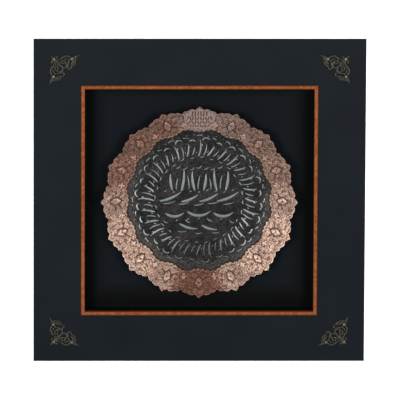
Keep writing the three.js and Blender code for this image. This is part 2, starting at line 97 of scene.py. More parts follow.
# Hanger's pocket, from the plate
PLATE_LOW, PLATE_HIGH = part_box("hanger_plate")
POCKET_HALF_WIDTH = PLATE_HIGH.x + FIT_GAP
POCKET_DEPTH = PLATE_HIGH.y - PLATE_LOW.y + FIT_GAP
NAIL_SPACE_HALF_WIDTH = 6 * MM
NAIL_SPACE_DEPTH = 10 * MM
NAIL_SPACE_LOW = 12 * MM
NAIL_SPACE_HIGH = 35 * MM

# Dish
SEGMENTS = 16
SEGMENT_ANGLE = 2 * math.pi / SEGMENTS
DISH_DROP = 6 * MM
SHEET = 1.5 * MM
WELL_BACK_Y = PANEL_FRONT_Y - FIT_GAP
WELL_Y = WELL_BACK_Y - SHEET
LIP_Y = WELL_Y - 3.5 * MM
LIP_RADIUS = 130 * MM
LIP_SWING = 5.2 * MM
LIP_ARCHES = 6
LIP_ARCH_REACH = 2.6 * MM
LIP_RUN = 4 * MM
RIM_SLOPE = 20 * DEGREE
MEDALLION_BULGE = 0.9 * MM
LOZENGE_RADIUS = 150.2 * MM
STAR_RADIUS = 142.8 * MM
# Each lobe of a medallion's outline: from and to in degrees, then start radius, end radius and bulge
LOBES = (
    (0, 2.6, 178.1 * MM, 171.6 * MM, 0.5 * MM),
    (2.6, 7.4, 171.6 * MM, 170.2 * MM, 2.8 * MM),
    (7.4, 11.25, 170.2 * MM, 165.8 * MM, 2.4 * MM),
)

# Corner ornaments and nails
ORNAMENT_INSET = 30 * MM
ORNAMENT_SCALE = 1.04
ORNAMENT_BACK_Y = FACE_Y - FIT_GAP
ORNAMENT_THICKNESS = 1.5 * MM
NAIL_SEAT_RADIUS = 3.7 * MM
NAIL_HEAD_RADIUS = 2.8 * MM
NAIL_HEAD_HEIGHT = 2.1 * MM
NAIL_SHANK_RADIUS = 0.8 * MM
NAIL_POINT = 2 * MM


# Settings that a user would change


def number_setting(name, description, default, **kind):
    """A number that a user may change, with its unit or subtype."""
    return bpy.props.FloatProperty(name=name, description=description, default=default, **kind)


def color_setting(name, description, default):
    """A colour that a user may change."""
    return bpy.props.FloatVectorProperty(
        name=name, description=description, default=default, subtype="COLOR"
    )


class FrameSettings(bpy.types.PropertyGroup):
    """Sizes and colours of the wooden frame."""

    edge_radius: number_setting("Edge Radius", "Rounding of the front edges", 1.2 * MM, unit="LENGTH")
    lacquer: color_setting("Lacquer", "Black lacquer of the rails", (0.0032, 0.0068, 0.0104))
    fillet_paint: color_setting("Fillet Paint", "Copper paint of the fillet", (0.285, 0.0627, 0.0123))
    panel: color_setting("Panel", "Matt black front of the back panel", (0.0052, 0.0078, 0.0106))
    board: color_setting("Board", "Bare hardboard on the panel's back", (0.2, 0.12, 0.065))


class DishSettings(bpy.types.PropertyGroup):
    """Relief and colours of the copper dish."""

    ground_depth: number_setting("Ground Depth", "Depth of the matted ground", 0.15 * MM, unit="LENGTH")
    vine_height: number_setting("Vine Height", "Height of scrolls and leaves", 0.12 * MM, unit="LENGTH")
    lozenge_height: number_setting("Lozenge Height", "Height of each lozenge", 1.1 * MM, unit="LENGTH")
    stroke_height: number_setting("Stroke Height", "Height of the well's strokes", 1.3 * MM, unit="LENGTH")
    copper: color_setting("Copper", "Rubbed copper on the high places", (0.545, 0.371, 0.288))
    patina: color_setting("Patina", "Dark patina in the engraving", (0.125, 0.064, 0.047))
    well: color_setting("Well", "Blackened metal of the well", (0.01, 0.0115, 0.0115))
    silver: color_setting("Silver", "Silvered tops of the strokes", (0.5, 0.53, 0.51))


class TrimSettings(bpy.types.PropertyGroup):
    """Colours of the brass trim and the hanger."""

    brass: color_setting("Aged Brass", "Cast brass of the corners", (0.108, 0.104, 0.076))
    nail: color_setting("Nail Brass", "Polished brass of the nails", (0.28, 0.262, 0.168))
    zinc: color_setting("Zinc", "Zinc plating of the hanger", (0.5, 0.52, 0.54))


class StageSettings(bpy.types.PropertyGroup):
    """Camera, lights and floor."""

    azimuth: number_setting("Azimuth", "Camera's turn about the object", -1.02 * DEGREE, subtype="ANGLE")
    elevation: number_setting("Elevation", "Camera's height above level", 13.95 * DEGREE, subtype="ANGLE")
    roll: number_setting("Roll", "Camera's roll about its view", 0.241 * DEGREE, subtype="ANGLE")
    distance: number_setting("Distance", "Camera's distance from the origin", 17.31, unit="LENGTH")
    focal_length: number_setting("Focal Length", "Camera's focal length in millimetres", 860.0)
    box_brightness: number_setting("Soft Box Brightness", "Radiance of the two soft boxes", 13.0)
    surround_brightness: number_setting("Surround Brightness", "Radiance of the studio all round", 0.16)


# Meshes


def grid_faces(rows, columns, around=False):
    """Quads of a grid of points stored row after row. With around, the last column joins the first."""
    across = np.arange(columns if around else columns - 1)
    low = np.arange(rows - 1)[:, None] * columns
    near, far = low + across, low + (across + 1) % columns
    return np.stack([near, far, far + columns, near + columns], axis=-1).reshape(-1, 4)


def tiled_faces(faces, copies, points_each):
    """The same faces for each of several copies whose points follow one another."""
    steps = np.arange(copies)[:, None, None] * points_each
    return (faces[None] + steps).reshape(-1, faces.shape[1])


def tube_faces(stations, around):
    """Faces of a profile carried along a path: quads round it, and one flat face at each end."""
    ends = np.array([np.arange(around)[::-1], np.arange(around) + (stations - 1) * around])
    return [grid_faces(stations, around, around=True), ends]


def ring_faces(start_a, count_a, start_b, count_b):
    """Triangles between two rings of points whose counts are equal, one double the other, or one for a
    pole."""
    if count_a > count_b:
        return ring_faces(start_b, count_b, start_a, count_a)[:, ::-1]
    here = np.arange(count_b)
    after = (here + 1) % count_b
    outer, outer_after = start_b + here, start_b + after
    if count_a == 1:
        return np.stack([np.full(count_b, start_a), outer, outer_after], axis=-1)
    if count_a == count_b:
        inner, inner_after = start_a + here, start_a + after
        return np.concatenate([
            np.stack([inner, outer, outer_after], axis=-1),
            np.stack([inner, outer_after, inner_after], axis=-1),
        ])
    few = np.arange(count_a)
    few_after = (few + 1) % count_a
    left, middle, right = start_b + 2 * few, start_b + 2 * few + 1, start_b + 2 * few_after
    return np.concatenate([
        np.stack([start_a + few, left, middle], axis=-1),
        np.stack([start_a + few, middle, start_a + few_after], axis=-1),
        np.stack([start_a + few_after, middle, right], axis=-1),
    ])


def new_piece(name, points, face_groups, sharp=35 * DEGREE, values=None, finish_index=None):
    """A mesh object from an array of points and arrays of faces. Doubled points are merged, faces turn
    outwards, and edges sharper than the angle stay crisp. values are named numbers for each point, for the
    materials."""
    mesh = bpy.data.meshes.new(name)
    faces = [face for group in face_groups for face in group.tolist()]
    mesh.from_pydata(points.reshape(-1, 3), [], faces)
    for label, numbers in (values or {}).items():
        layer = mesh.attributes.new(label, "FLOAT", "POINT")
        layer.data.foreach_set("value", np.ascontiguousarray(numbers, dtype=np.float32).ravel())
    if finish_index is not None:
        mesh.polygons.foreach_set("material_index", finish_index.astype(np.int32))
    work = bmesh.new()
    work.from_mesh(mesh)
    bmesh.ops.remove_doubles(work, verts=work.verts, dist=1e-6)
    bmesh.ops.dissolve_degenerate(work, dist=1e-7, edges=work.edges)
    bmesh.ops.recalc_face_normals(work, faces=work.faces)
    work.to_mesh(mesh)
    work.free()
    mesh.shade_smooth()
    mesh.set_sharp_from_angle(angle=sharp)
    piece = bpy.data.objects.new(name, mesh)
    bpy.context.scene.collection.objects.link(piece)
    return piece


def dress(piece, finishes, slot, *nodes):
    """The piece takes its finishes, stands for the solids and rides with them."""
    for finish in finishes:
        piece.data.materials.append(finish)
    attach(piece, BODY)
    if nodes:
        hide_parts(*nodes)
    return piece


def refinish(node, finish):
    """A solid that keeps its own mesh takes a finish."""
    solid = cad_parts[node]
    solid.data.materials.clear()
    solid.data.materials.append(finish)


def quarter_turned(points, turns):
    """Points turned clockwise about the Y axis, seen from the front, by whole quarter turns."""
    x, y, z = points[..., 0], points[..., 1], points[..., 2]
    for _ in range(turns % 4):
        x, z = z, -x
    return np.stack([x, y, z], axis=-1)


def smooth_step(value):
    """Goes from 0 to 1 with level ends: three times the square less twice the cube."""
    share = np.clip(value, 0, 1)
    return share * share * (3 - 2 * share)


def curve_through(knots, count):
    """Points spaced along a smooth curve through the knots: on each span a cubic whose slope at a knot is
    half the difference of its neighbours."""
    knots = np.asarray(knots, dtype=float)
    padded = np.concatenate([[2 * knots[0] - knots[1]], knots, [2 * knots[-1] - knots[-2]]])
    place = np.linspace(0, len(knots) - 1, count)
    span = np.minimum(place.astype(int), len(knots) - 2)
    t = (place - span)[:, None]
    before, start, end, after = (padded[span + step] for step in range(4))
    slope_in, slope_out = (end - before) / 2, (after - start) / 2
    lift = end - start
    square, cube = 3 * lift - 2 * slope_in - slope_out, slope_in + slope_out - 2 * lift
    return start + t * slope_in + t**2 * square + t**3 * cube


def beside_line(x, z, width, across):
    """Places beside a line: off each of its points, along the normal, by shares of the width there."""
    dx, dz = np.gradient(x, axis=-1), np.gradient(z, axis=-1)
    run = np.hypot(dx, dz)
    px = x[..., None] - (dz / run * width)[..., None] * across
    pz = z[..., None] + (dx / run * width)[..., None] * across
    return px, pz


# Shader nodes


def add_node(tree, kind, inputs=None, **settings):
    """A node with its settings, and each named or numbered input set to a value or joined to an output."""
    made = tree.nodes.new(kind)
    for key, value in settings.items():
        setattr(made, key, value)
    for key, value in (inputs or {}).items():
        if isinstance(value, bpy.types.NodeSocket):
            tree.links.new(value, made.inputs[key])
        else:
            made.inputs[key].default_value = value
    return made


def math_node(tree, operation, first, second=0.0, clamp=False):
    inputs = {0: first, 1: second}
    return add_node(tree, "ShaderNodeMath", inputs, operation=operation, use_clamp=clamp).outputs[0]


def centred(tree, value, strength):
    """How far a noise lies above a half, times a strength."""
    return math_node(tree, "MULTIPLY", math_node(tree, "SUBTRACT", value, 0.5), strength)


def weighed(tree, first, weight, second, other_weight):
    """The sum of two values, each times its weight."""
    first = math_node(tree, "MULTIPLY", first, weight)
    return math_node(tree, "ADD", first, math_node(tree, "MULTIPLY", second, other_weight))


def mix_colors(tree, factor, first, second, blend="MIX"):
    made = add_node(tree, "ShaderNodeMix", data_type="RGBA", blend_type=blend)
    colors = [socket for socket in made.inputs if socket.type == "RGBA"]
    for socket, value in zip([made.inputs[0], *colors], [factor, first, second]):
        if isinstance(value, bpy.types.NodeSocket):
            tree.links.new(value, socket)
        else:
            socket.default_value = value
    return next(socket for socket in made.outputs if socket.type == "RGBA")


def spread(tree, value, low, high, to_low=0.0, to_high=1.0):
    """A value carried from one range to another, and kept inside it."""
    inputs = {"Value": value, "From Min": low, "From Max": high, "To Min": to_low, "To Max": to_high}
    return add_node(tree, "ShaderNodeMapRange", inputs, clamp=True).outputs["Result"]


def noise(tree, vector, scale, detail=3.0, roughness=0.55):
    inputs = {"Vector": vector, "Scale": scale, "Detail": detail, "Roughness": roughness}
    return add_node(tree, "ShaderNodeTexNoise", inputs).outputs["Fac"]


def new_group(name, inputs, outputs):
    """An empty node group with named inputs and outputs, each given as name, socket kind and default."""
    group = bpy.data.node_groups.new(name, "ShaderNodeTree")
    for label, kind, default in inputs:
        socket = group.interface.new_socket(label, in_out="INPUT", socket_type=kind)
        if default is not None:
            socket.default_value = default
    for label, kind in outputs:
        group.interface.new_socket(label, in_out="OUTPUT", socket_type=kind)
    entry = group.nodes.new("NodeGroupInput")
    result = group.nodes.new("NodeGroupOutput")
    return group, entry.outputs, result


def close_group(group, result, **outputs):
    for label, value in outputs.items():
        group.links.new(value, result.inputs[label])
    return group


FLOAT, COLOR, VECTOR = "NodeSocketFloat", "NodeSocketColor", "NodeSocketVector"
# How much finer than the blotches the patina's grain and spots are, and how far each shifts its tone
GRAIN_FINENESS = 22.0
SPOT_FINENESS = 6.5
GRAIN_STRENGTH = 0.5
SPOT_STRENGTH = 2.8
PIT_STRENGTH = 0.8
# What a thick film does to the colour below it: the warm tint of the dish's painted shade
PAINTED_SHADE_TINT = (1.1, 0.94, 0.865, 1)


def patina_group():
    """Dark patina that settles in low places and rubs off high ones. Tone runs from -1 in the deepest
    engraving to 1 on the highest places. Blotches, grain, spots and dark pits shift it, and a film adds a
    darker, warmer coat: an even tarnish where it is one number, and painted shade where the dish gives it in
    patches. The cover is the way from a tone of 0.75 down to -1, as a share to the power 0.8."""
    group, given, result = new_group(
        "Patina",
        [("Vector", VECTOR, None), ("Metal", COLOR, (1, 1, 1, 1)), ("Patina", COLOR, (0, 0, 0, 1)),
         ("Tone", FLOAT, 0.0), ("Tarnish And Painted Shade", FLOAT, 0.0), ("Blotch Scale", FLOAT, 40.0),
         ("Blotch", FLOAT, 0.3), ("Speckle", FLOAT, 1.0)],
        [("Color", COLOR), ("Dullness", FLOAT), ("Height", FLOAT)],
    )
    place, scale = given["Vector"], given["Blotch Scale"]
    cloud = noise(group, place, scale, 4.0)
    grain = noise(group, place, math_node(group, "MULTIPLY", scale, GRAIN_FINENESS))
    spot = noise(group, place, math_node(group, "MULTIPLY", scale, SPOT_FINENESS), 2.0)
    fleck, blot = centred(group, grain, GRAIN_STRENGTH), centred(group, spot, SPOT_STRENGTH)
    fleck = math_node(group, "ADD", fleck, blot)
    fleck = math_node(group, "ADD", fleck, spread(group, spot, 0.33, 0.4, -PIT_STRENGTH, 0.0))
    fleck = math_node(group, "MULTIPLY", fleck, given["Speckle"])
    lit = math_node(group, "ADD", given["Tone"], centred(group, cloud, given["Blotch"]))
    lit = math_node(group, "SUBTRACT", math_node(group, "ADD", lit, fleck), given["Tarnish And Painted Shade"])
    cover = math_node(group, "POWER", spread(group, lit, -1.0, 0.75, 1.0, 0.0), 0.8)
    color = mix_colors(group, cover, given["Metal"], given["Patina"])
    # Where the film is thick, on the dish's painted shade, it tints the colour warmer.
    painted_shade_share = spread(group, given["Tarnish And Painted Shade"], 0.25, 0.5)
    color = mix_colors(group, painted_shade_share, color, PAINTED_SHADE_TINT, blend="MULTIPLY")
    dullness = weighed(group, cover, 0.8, grain, 0.2)
    return close_group(group, result, Color=color, Dullness=dullness, Height=grain)


def worn_paint_group():
    """Paint with cloudy depth and fine tooth, rubbed through to the layer below where Edge is near 1."""
    group, given, result = new_group(
        "Worn Paint",
        [("Vector", VECTOR, None), ("Paint", COLOR, (0, 0, 0, 1)), ("Below", COLOR, (1, 1, 1, 1)),
         ("Edge", FLOAT, 0.0), ("Cloud Scale", FLOAT, 8.0), ("Cloud", FLOAT, 0.2),
         ("Grain Scale", FLOAT, 900.0), ("Wear", FLOAT, 0.5)],
        [("Color", COLOR), ("Dullness", FLOAT), ("Height", FLOAT)],
    )
    place = given["Vector"]
    cloud = noise(group, place, given["Cloud Scale"], 5.0)
    grain = noise(group, place, given["Grain Scale"], 2.0)
    scuff = noise(group, place, 160.0, 4.0)
    shift = centred(group, cloud, math_node(group, "MULTIPLY", given["Cloud"], 2.0))
    depth = math_node(group, "ADD", 1.0, shift)
    shade = math_node(group, "MULTIPLY", depth, spread(group, grain, 0.3, 0.7, 0.92, 1.08))
    shade_color = add_node(group, "ShaderNodeCombineColor", {0: shade, 1: shade, 2: shade}).outputs[0]
    painted = mix_colors(group, 1.0, given["Paint"], shade_color, blend="MULTIPLY")
    worn = math_node(group, "MULTIPLY", given["Edge"], given["Wear"])
    rub = math_node(group, "MULTIPLY", worn, spread(group, scuff, 0.42, 0.62), clamp=True)
    color = mix_colors(group, rub, painted, given["Below"])
    dullness = weighed(group, cloud, 0.5, grain, 0.5)
    return close_group(group, result, Color=color, Dullness=dullness, Height=grain)


def group_node(tree, build, name, inputs):
    """Places a shared group in a material, and builds it the first time."""
    group = bpy.data.node_groups.get(name) or build()
    return add_node(tree, "ShaderNodeGroup", inputs, node_tree=group)


def start_material(name):
    """A material's tree with its shader, its Object coordinates and nothing else joined yet."""
    finish = bpy.data.materials.new(name)
    finish.use_nodes = True
    tree = finish.node_tree
    shader = tree.nodes["Principled BSDF"]
    place = add_node(tree, "ShaderNodeTexCoord").outputs["Object"]
    return finish, tree, shader, place


def read_value(tree, label):
    return add_node(tree, "ShaderNodeAttribute", attribute_name=label).outputs["Fac"]


def join_shader(tree, shader, color, roughness, height, bump):
    """Joins colour, roughness and a bump of the given depth to the shader."""
    bumped = add_node(tree, "ShaderNodeBump", {"Height": height, "Distance": bump, "Strength": 1.0})
    tree.links.new(color, shader.inputs["Base Color"])
    tree.links.new(roughness, shader.inputs["Roughness"])
    tree.links.new(bumped.outputs["Normal"], shader.inputs["Normal"])


def rgba(color):
    return (*color, 1.0)


def painted_material(name, paint, below, cloud, cloud_scale, grain_scale, bump, wear, metallic, specular):
    """Satin paint or lacquer over board, from the shared worn paint."""
    finish, tree, shader, place = start_material(name)
    coat = group_node(tree, worn_paint_group, "Worn Paint", {
        "Vector": place, "Paint": rgba(paint), "Below": rgba(below), "Edge": read_value(tree, "edge"),
        "Cloud Scale": cloud_scale, "Cloud": cloud, "Grain Scale": grain_scale, "Wear": wear,
    }).outputs
    shader.inputs["Metallic"].default_value = metallic
    shader.inputs["Specular IOR Level"].default_value = specular
    dull = spread(tree, coat["Dullness"], 0.3, 0.7, 0.43, 0.57)
    join_shader(tree, shader, coat["Color"], dull, coat["Height"], bump)
    return finish


def metal_material(name, metal, patina, blotch_scale, blotch, shine, dull, bump, metallic=1.0, tarnish_and_painted_shade=0.0,
                   tone_shift=0.0, speckle=1.0):
    """Metal under a patina that follows the relief's tone, from the shared patina. Its roughness runs from
    shine on bare metal to dull under the patina. A film given as a number is one tarnish all over; None
    reads the mesh's own film, which on the dish is painted shade."""
    finish, tree, shader, place = start_material(name)
    tone = math_node(tree, "ADD", read_value(tree, "tone"), tone_shift)
    film = group_node(tree, patina_group, "Patina", {
        "Vector": place, "Metal": rgba(metal), "Patina": rgba(patina), "Tone": tone,
        "Tarnish And Painted Shade": read_value(tree, "tarnish_and_painted_shade") if tarnish_and_painted_shade is None else tarnish_and_painted_shade,
        "Blotch Scale": blotch_scale, "Blotch": blotch, "Speckle": speckle,
    }).outputs
    shader.inputs["Metallic"].default_value = metallic
    rough = spread(tree, film["Dullness"], 0.1, 0.9, shine, dull)
    join_shader(tree, shader, film["Color"], rough, film["Height"], bump)
    return finish


# Frame


def rounded_section(corners, radii):
    """An outline with chosen corners rounded: each is replaced by points on a quadratic curve from one side
    to the other, a radius away along both. Returns the outline and 1 at rounded corners, 0 elsewhere."""
    steps, wear_reach = 4, 1.6
    outline, edge = [], []
    count = len(corners)
    for index, corner in enumerate(corners):
        radius = radii.get(index, 0)
        corner = np.array(corner, dtype=float)
        if not radius:
            outline.append(corner)
            edge.append(0.0)
            continue
        to_last = np.array(corners[index - 1]) - corner
        to_next = np.array(corners[(index + 1) % count]) - corner
        to_last /= np.linalg.norm(to_last)
        to_next /= np.linalg.norm(to_next)
        outline.append(corner + to_last * wear_reach * radius)
        edge.append(0.0)
        for share in np.linspace(0, 1, steps + 1):
            outline.append(corner + to_last * radius * (1 - share) ** 2 + to_next * radius * share**2)
            edge.append(1.0)
        outline.append(corner + to_next * wear_reach * radius)
        edge.append(0.0)
    return np.array(outline), np.array(edge)


def mitred_bar(section, stations, depths):
    """A bar along the top of the frame. Section point (inward, y) lies at z = half frame less inward. A
    station's x is kept where the 45 degree mitre allows it, half frame less inward less the joint gap each
    way. depths, one row for each station, replace y."""
    inward = section[:, 0]
    reach = HALF_FRAME - inward - JOINT_GAP
    x = np.clip(stations[:, None], -reach, reach)
    z = np.broadcast_to(HALF_FRAME - inward, x.shape)
    return np.stack([x, depths, z], axis=-1)


def rail_corners():
    """The rail's section: leaning side, front edge, face, fillet rebate, recess wall and panel rebate."""
    return [
        (SIDE_SET_BACK, 0), (0, FACE_Y + SIDE_EDGE), (0, FACE_Y), (RAIL_WIDTH - FILLET_WIDTH, FACE_Y),
        (RAIL_WIDTH - FILLET_WIDTH, FACE_Y + FILLET_DEPTH), (RAIL_WIDTH, FACE_Y + FILLET_DEPTH),
        (RAIL_WIDTH, PANEL_FRONT_Y - FIT_GAP), (HALF_FRAME - PANEL_HALF - FIT_GAP, PANEL_FRONT_Y - FIT_GAP),
        (HALF_FRAME - PANEL_HALF - FIT_GAP, 0),
    ]


def rail_points(edge_radius, has_pocket):
    """A rail's points, with the hanger's pocket in its back where it has one: the back's depth steps from 0
    to the pocket's and the nail space's over the middle stations."""
    section, edge = rounded_section(rail_corners(), {0: BACK_EDGE_RADIUS, 2: edge_radius})
    if not has_pocket:
        stations = np.array([-HALF_FRAME, HALF_FRAME])
        return mitred_bar(section, stations, np.broadcast_to(section[:, 1], (2, len(section)))), edge
    pocket = HALF_FRAME - np.array([PLATE_LOW.z - FIT_GAP, PLATE_HIGH.z + FIT_GAP])
    space = HALF_FRAME - (PLATE_LOW.z + np.array([NAIL_SPACE_LOW, NAIL_SPACE_HIGH]))
    back = [
        (pocket[0], 0), (pocket[0], 1), (space[0], 1), (space[0], 2),
        (space[1], 2), (space[1], 1), (pocket[1], 1), (pocket[1], 0),
    ]
    level = np.concatenate([np.zeros(len(section), int), [step for _, step in back]])
    section = np.concatenate([section, [(inward, 0) for inward, _ in back]])
    edge = np.concatenate([edge, np.zeros(len(back))])
    pocket_half, space_half = POCKET_HALF_WIDTH, NAIL_SPACE_HALF_WIDTH
    half_widths = [HALF_FRAME, pocket_half, pocket_half, space_half, space_half]
    opened = [0, 0, 1, 1, 2]
    stations = np.array([-width for width in half_widths] + half_widths[::-1])
    reached = np.array(opened + opened[::-1])
    depth_of = np.array([0, -POCKET_DEPTH, -NAIL_SPACE_DEPTH])
    depths = section[:, 1] + depth_of[np.minimum(level[None], reached[:, None])]
    return mitred_bar(section, stations, depths), edge


def build_rails(settings):
    """Rails: four mitred bars of one section, the top one with the hanger's pocket in its back."""
    lacquer = painted_material(
        "black_lacquer", settings.lacquer, below=(0.045, 0.04, 0.036), cloud=0.42, cloud_scale=9.0,
        grain_scale=1400.0, bump=0.03 * MM, wear=0.35, metallic=0.0, specular=0.2,
    )
    for turns, side in enumerate(SIDES):
        points, edge = rail_points(settings.edge_radius, side == "top")
        stations, around = points.shape[:2]
        values = {"edge": np.broadcast_to(edge, (stations, around))}
        points = quarter_turned(points, turns)
        rail = new_piece(f"frame_rail_{side}", points, tube_faces(stations, around), values=values)
        dress(rail, [lacquer], "black_lacquer", f"rail_{side}")


def build_fillets(settings):
    """Fillet: a bead whose front is half an ellipse between its two straight sides."""
    paint = painted_material(
        "copper_paint", settings.fillet_paint, below=(0.55, 0.2, 0.07), cloud=0.09, cloud_scale=9.0,
        grain_scale=1500.0, bump=0.04 * MM, wear=0.5, metallic=0.25, specular=0.25,
    )
    turn = np.linspace(0, math.pi, 15)
    middle, half = (FILLET_OUTER + RAIL_WIDTH) / 2, (RAIL_WIDTH - FILLET_OUTER) / 2
    proud = FACE_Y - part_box("fillet_top")[0].y
    crown = np.stack([middle - half * np.cos(turn), FACE_Y - proud * np.sin(turn)], axis=-1)
    section = np.concatenate([[(FILLET_OUTER, FILLET_BACK_Y)], crown, [(RAIL_WIDTH, FILLET_BACK_Y)]])
    edge = np.concatenate([[0], np.sin(turn) ** 3, [0]])
    stations = np.linspace(-HALF_FRAME, HALF_FRAME, 2)
    for turns, side in enumerate(SIDES):
        points = mitred_bar(section, stations, np.broadcast_to(section[:, 1], (2, len(section))))
        values = {"edge": np.broadcast_to(edge, points.shape[:2])}
        points = quarter_turned(points, turns)
        strip = new_piece(f"fillet_strip_{side}", points, tube_faces(*points.shape[:2]), values=values)
        dress(strip, [paint], "copper_paint", f"fillet_{side}")


# Distances from the recess's sides, foot and top between which its painted shade falls from 1 to 0
PAINTED_SHADE_AT_SIDES = (10 * MM, 42 * MM)
PAINTED_SHADE_AT_FOOT = (16 * MM, 50 * MM)
PAINTED_SHADE_AT_TOP = (6 * MM, 24 * MM)


def painted_recess_shade(tree, place):
    """1 beside the recess walls, where the painted shade is deepest, and 0 further in."""
    parts = add_node(tree, "ShaderNodeSeparateXYZ", {0: place}).outputs
    sideways = math_node(tree, "ABSOLUTE", parts["X"])
    down = math_node(tree, "MULTIPLY", parts["Z"], -1.0)
    shade = 0.0
    for way, (full, none) in ((sideways, PAINTED_SHADE_AT_SIDES), (down, PAINTED_SHADE_AT_FOOT), (parts["Z"], PAINTED_SHADE_AT_TOP)):
        near = spread(tree, way, HALF_RECESS - none, HALF_RECESS - full)
        shade = math_node(tree, "MAXIMUM", shade, near)
    return shade


def build_back_panel(settings):
    """Back panel: the solid keeps its mesh. Front and edges are matt black, with painted shade that deepens
    to near black beside the recess walls, and the back is bare hardboard with fibres and stains."""
    finish, tree, shader, place = start_material("panel_board")
    depth = add_node(tree, "ShaderNodeSeparateXYZ", {0: place}).outputs["Y"]
    behind = spread(tree, depth, -0.4 * MM, -0.2 * MM)
    stretched = add_node(tree, "ShaderNodeMapping", {"Vector": place, "Scale": (1.0, 1.0, 3.2)}).outputs[0]
    fibre = noise(tree, stretched, 420.0, 6.0, 0.7)
    stain = noise(tree, place, 14.0, 4.0, 0.6)
    mottle = weighed(tree, spread(tree, fibre, 0.35, 0.7), 0.5, spread(tree, stain, 0.3, 0.7), 0.5)
    dark_board = rgba(tuple(0.62 * part for part in settings.board))
    board = mix_colors(tree, mottle, dark_board, rgba(settings.board))
    coat = group_node(tree, worn_paint_group, "Worn Paint", {
        "Vector": place, "Paint": rgba(settings.panel), "Below": rgba(settings.panel), "Edge": 0.0,
        "Cloud Scale": 4.0, "Cloud": 0.18, "Grain Scale": 1700.0, "Wear": 0.0,
    }).outputs
    # Painted shade: the front's black deepens to near black beside the recess's sides, foot and top.
    sunk = mix_colors(tree, painted_recess_shade(tree, place), coat["Color"], (0.0012, 0.0013, 0.0014, 1))
    color = mix_colors(tree, behind, sunk, board)
    height = math_node(tree, "MULTIPLY", math_node(tree, "ADD", coat["Height"], fibre), 0.5)
    shader.inputs["Specular IOR Level"].default_value = 0.12
    rough = spread(tree, coat["Dullness"], 0.3, 0.7, 0.72, 0.86)
    join_shader(tree, shader, color, rough, height, 0.06 * MM)
    refinish("back_panel", finish)


# Dish


def off_centre(angle):
    """Angle from the middle line of the nearest medallion."""
    return angle - SEGMENT_ANGLE * np.round(angle / SEGMENT_ANGLE)


def outline_radius(angle):
    """The dish's outline: on each lobe a straight change of radius plus a half wave that bulges outwards."""
    offset = np.abs(off_centre(angle)) / DEGREE
    radius = np.zeros_like(offset)
    for start, end, first, last, bulge in LOBES:
        share = (offset - start) / (end - start)
        on_lobe = (share >= -1e-6) & (share <= 1 + 1e-6)
        shape = first + (last - first) * share + bulge * np.sin(np.pi * np.clip(share, 0, 1))
        radius = np.where(on_lobe, shape, radius)
    return radius


def lip_radius(angle):
    """Radius of the well's edge: a wave with one inward point on each medallion, less six small arches with
    sharp notches between them."""
    wave = LIP_SWING * (1 - np.cos(SEGMENTS * angle)) / 2
    arches = np.abs(np.cos(LIP_ARCHES / 2 * SEGMENTS * angle)) ** 0.6
    return LIP_RADIUS + wave - LIP_ARCH_REACH * (arches - 0.24)


def rim_y(angle, radius):
    """The rim's smooth surface: a cone, less a swell on each medallion that fades at lip and outline."""
    lip = lip_radius(angle)
    share = (radius - lip) / (outline_radius(angle) - lip)
    swell = MEDALLION_BULGE * np.cos(SEGMENTS * angle) * np.sin(np.pi * share)
    return LIP_Y - (radius - LIP_RADIUS) * math.tan(RIM_SLOPE) - swell


def polar_points(radius, angle, y):
    """Points round the dish's axis: x is radius times sine, and z is radius times cosine less the drop."""
    radius, angle, y = np.broadcast_arrays(radius, angle, y)
    return np.stack([radius * np.sin(angle), y, radius * np.cos(angle) - DISH_DROP], axis=-1)


def leaf_half_width(along, half_length, half_width):
    """A pointed leaf's half width along its middle line: half a sine wave to the power 0.85."""
    share = np.clip((along + half_length) / (2 * half_length), 0, 1)
    return half_width * np.sin(np.pi * share) ** 0.85


def within(distance, softness=0.45 * MM):
    """1 inside a shape, 0 outside and a smooth step between, from a distance that is negative inside."""
    return smooth_step(0.5 - distance / (2 * softness))


def distance_to_path(sideways, outward, path):
    """Distance from each place to the nearest point of a path of (sideways, outward, half width), less its
    half width."""
    reach = np.hypot(sideways[..., None] - path[:, 0], outward[..., None] - path[:, 1])
    return (reach - path[:, 2]).min(axis=-1)


# Scrolls on half a medallion, from its lozenge's centre: sideways, outward, radius, start in degrees, turn
SCROLLS = (
    (4.6, 20.4, 3.4, 200, 1), (12.0, 17.2, 3.9, 20, -1), (22.2, 13.2, 4.1, 160, -1),
    (29.4, 7.6, 3.4, 190, 1), (7.8, 12.4, 2.8, 120, 1), (12.4, 6.8, 3.8, 250, 1), (21.4, 4.4, 4.2, 60, -1),
    (28.8, -1.4, 3.4, 100, 1), (12.2, -1.2, 2.8, 330, -1), (20.8, -5.2, 3.8, 20, 1),
    (6.6, -13.4, 2.9, 140, -1), (13.0, -13.4, 2.8, 60, 1), (18.6, -12.4, 2.8, 200, 1),
    (1.9, -15.6, 2.0, 80, -1), (0.0, 15.6, 1.2, 90, 1), (5.4, 14.4, 1.6, 30, -1), (17.4, 11.0, 1.8, 200, 1),
    (25.6, 3.4, 1.8, 80, 1), (8.6, -9.6, 1.7, 160, 1), (24.4, -9.4, 1.8, 30, -1),
)
# Leaves sunk among the scrolls: sideways, outward, length, half width, heading in degrees from outward, tone
SUNK_LEAVES = ((15.4, 12.8, 12.0, 1.5, -77, -0.55), (16.0, 0.2, 4.2, 1.3, 60, -0.8))
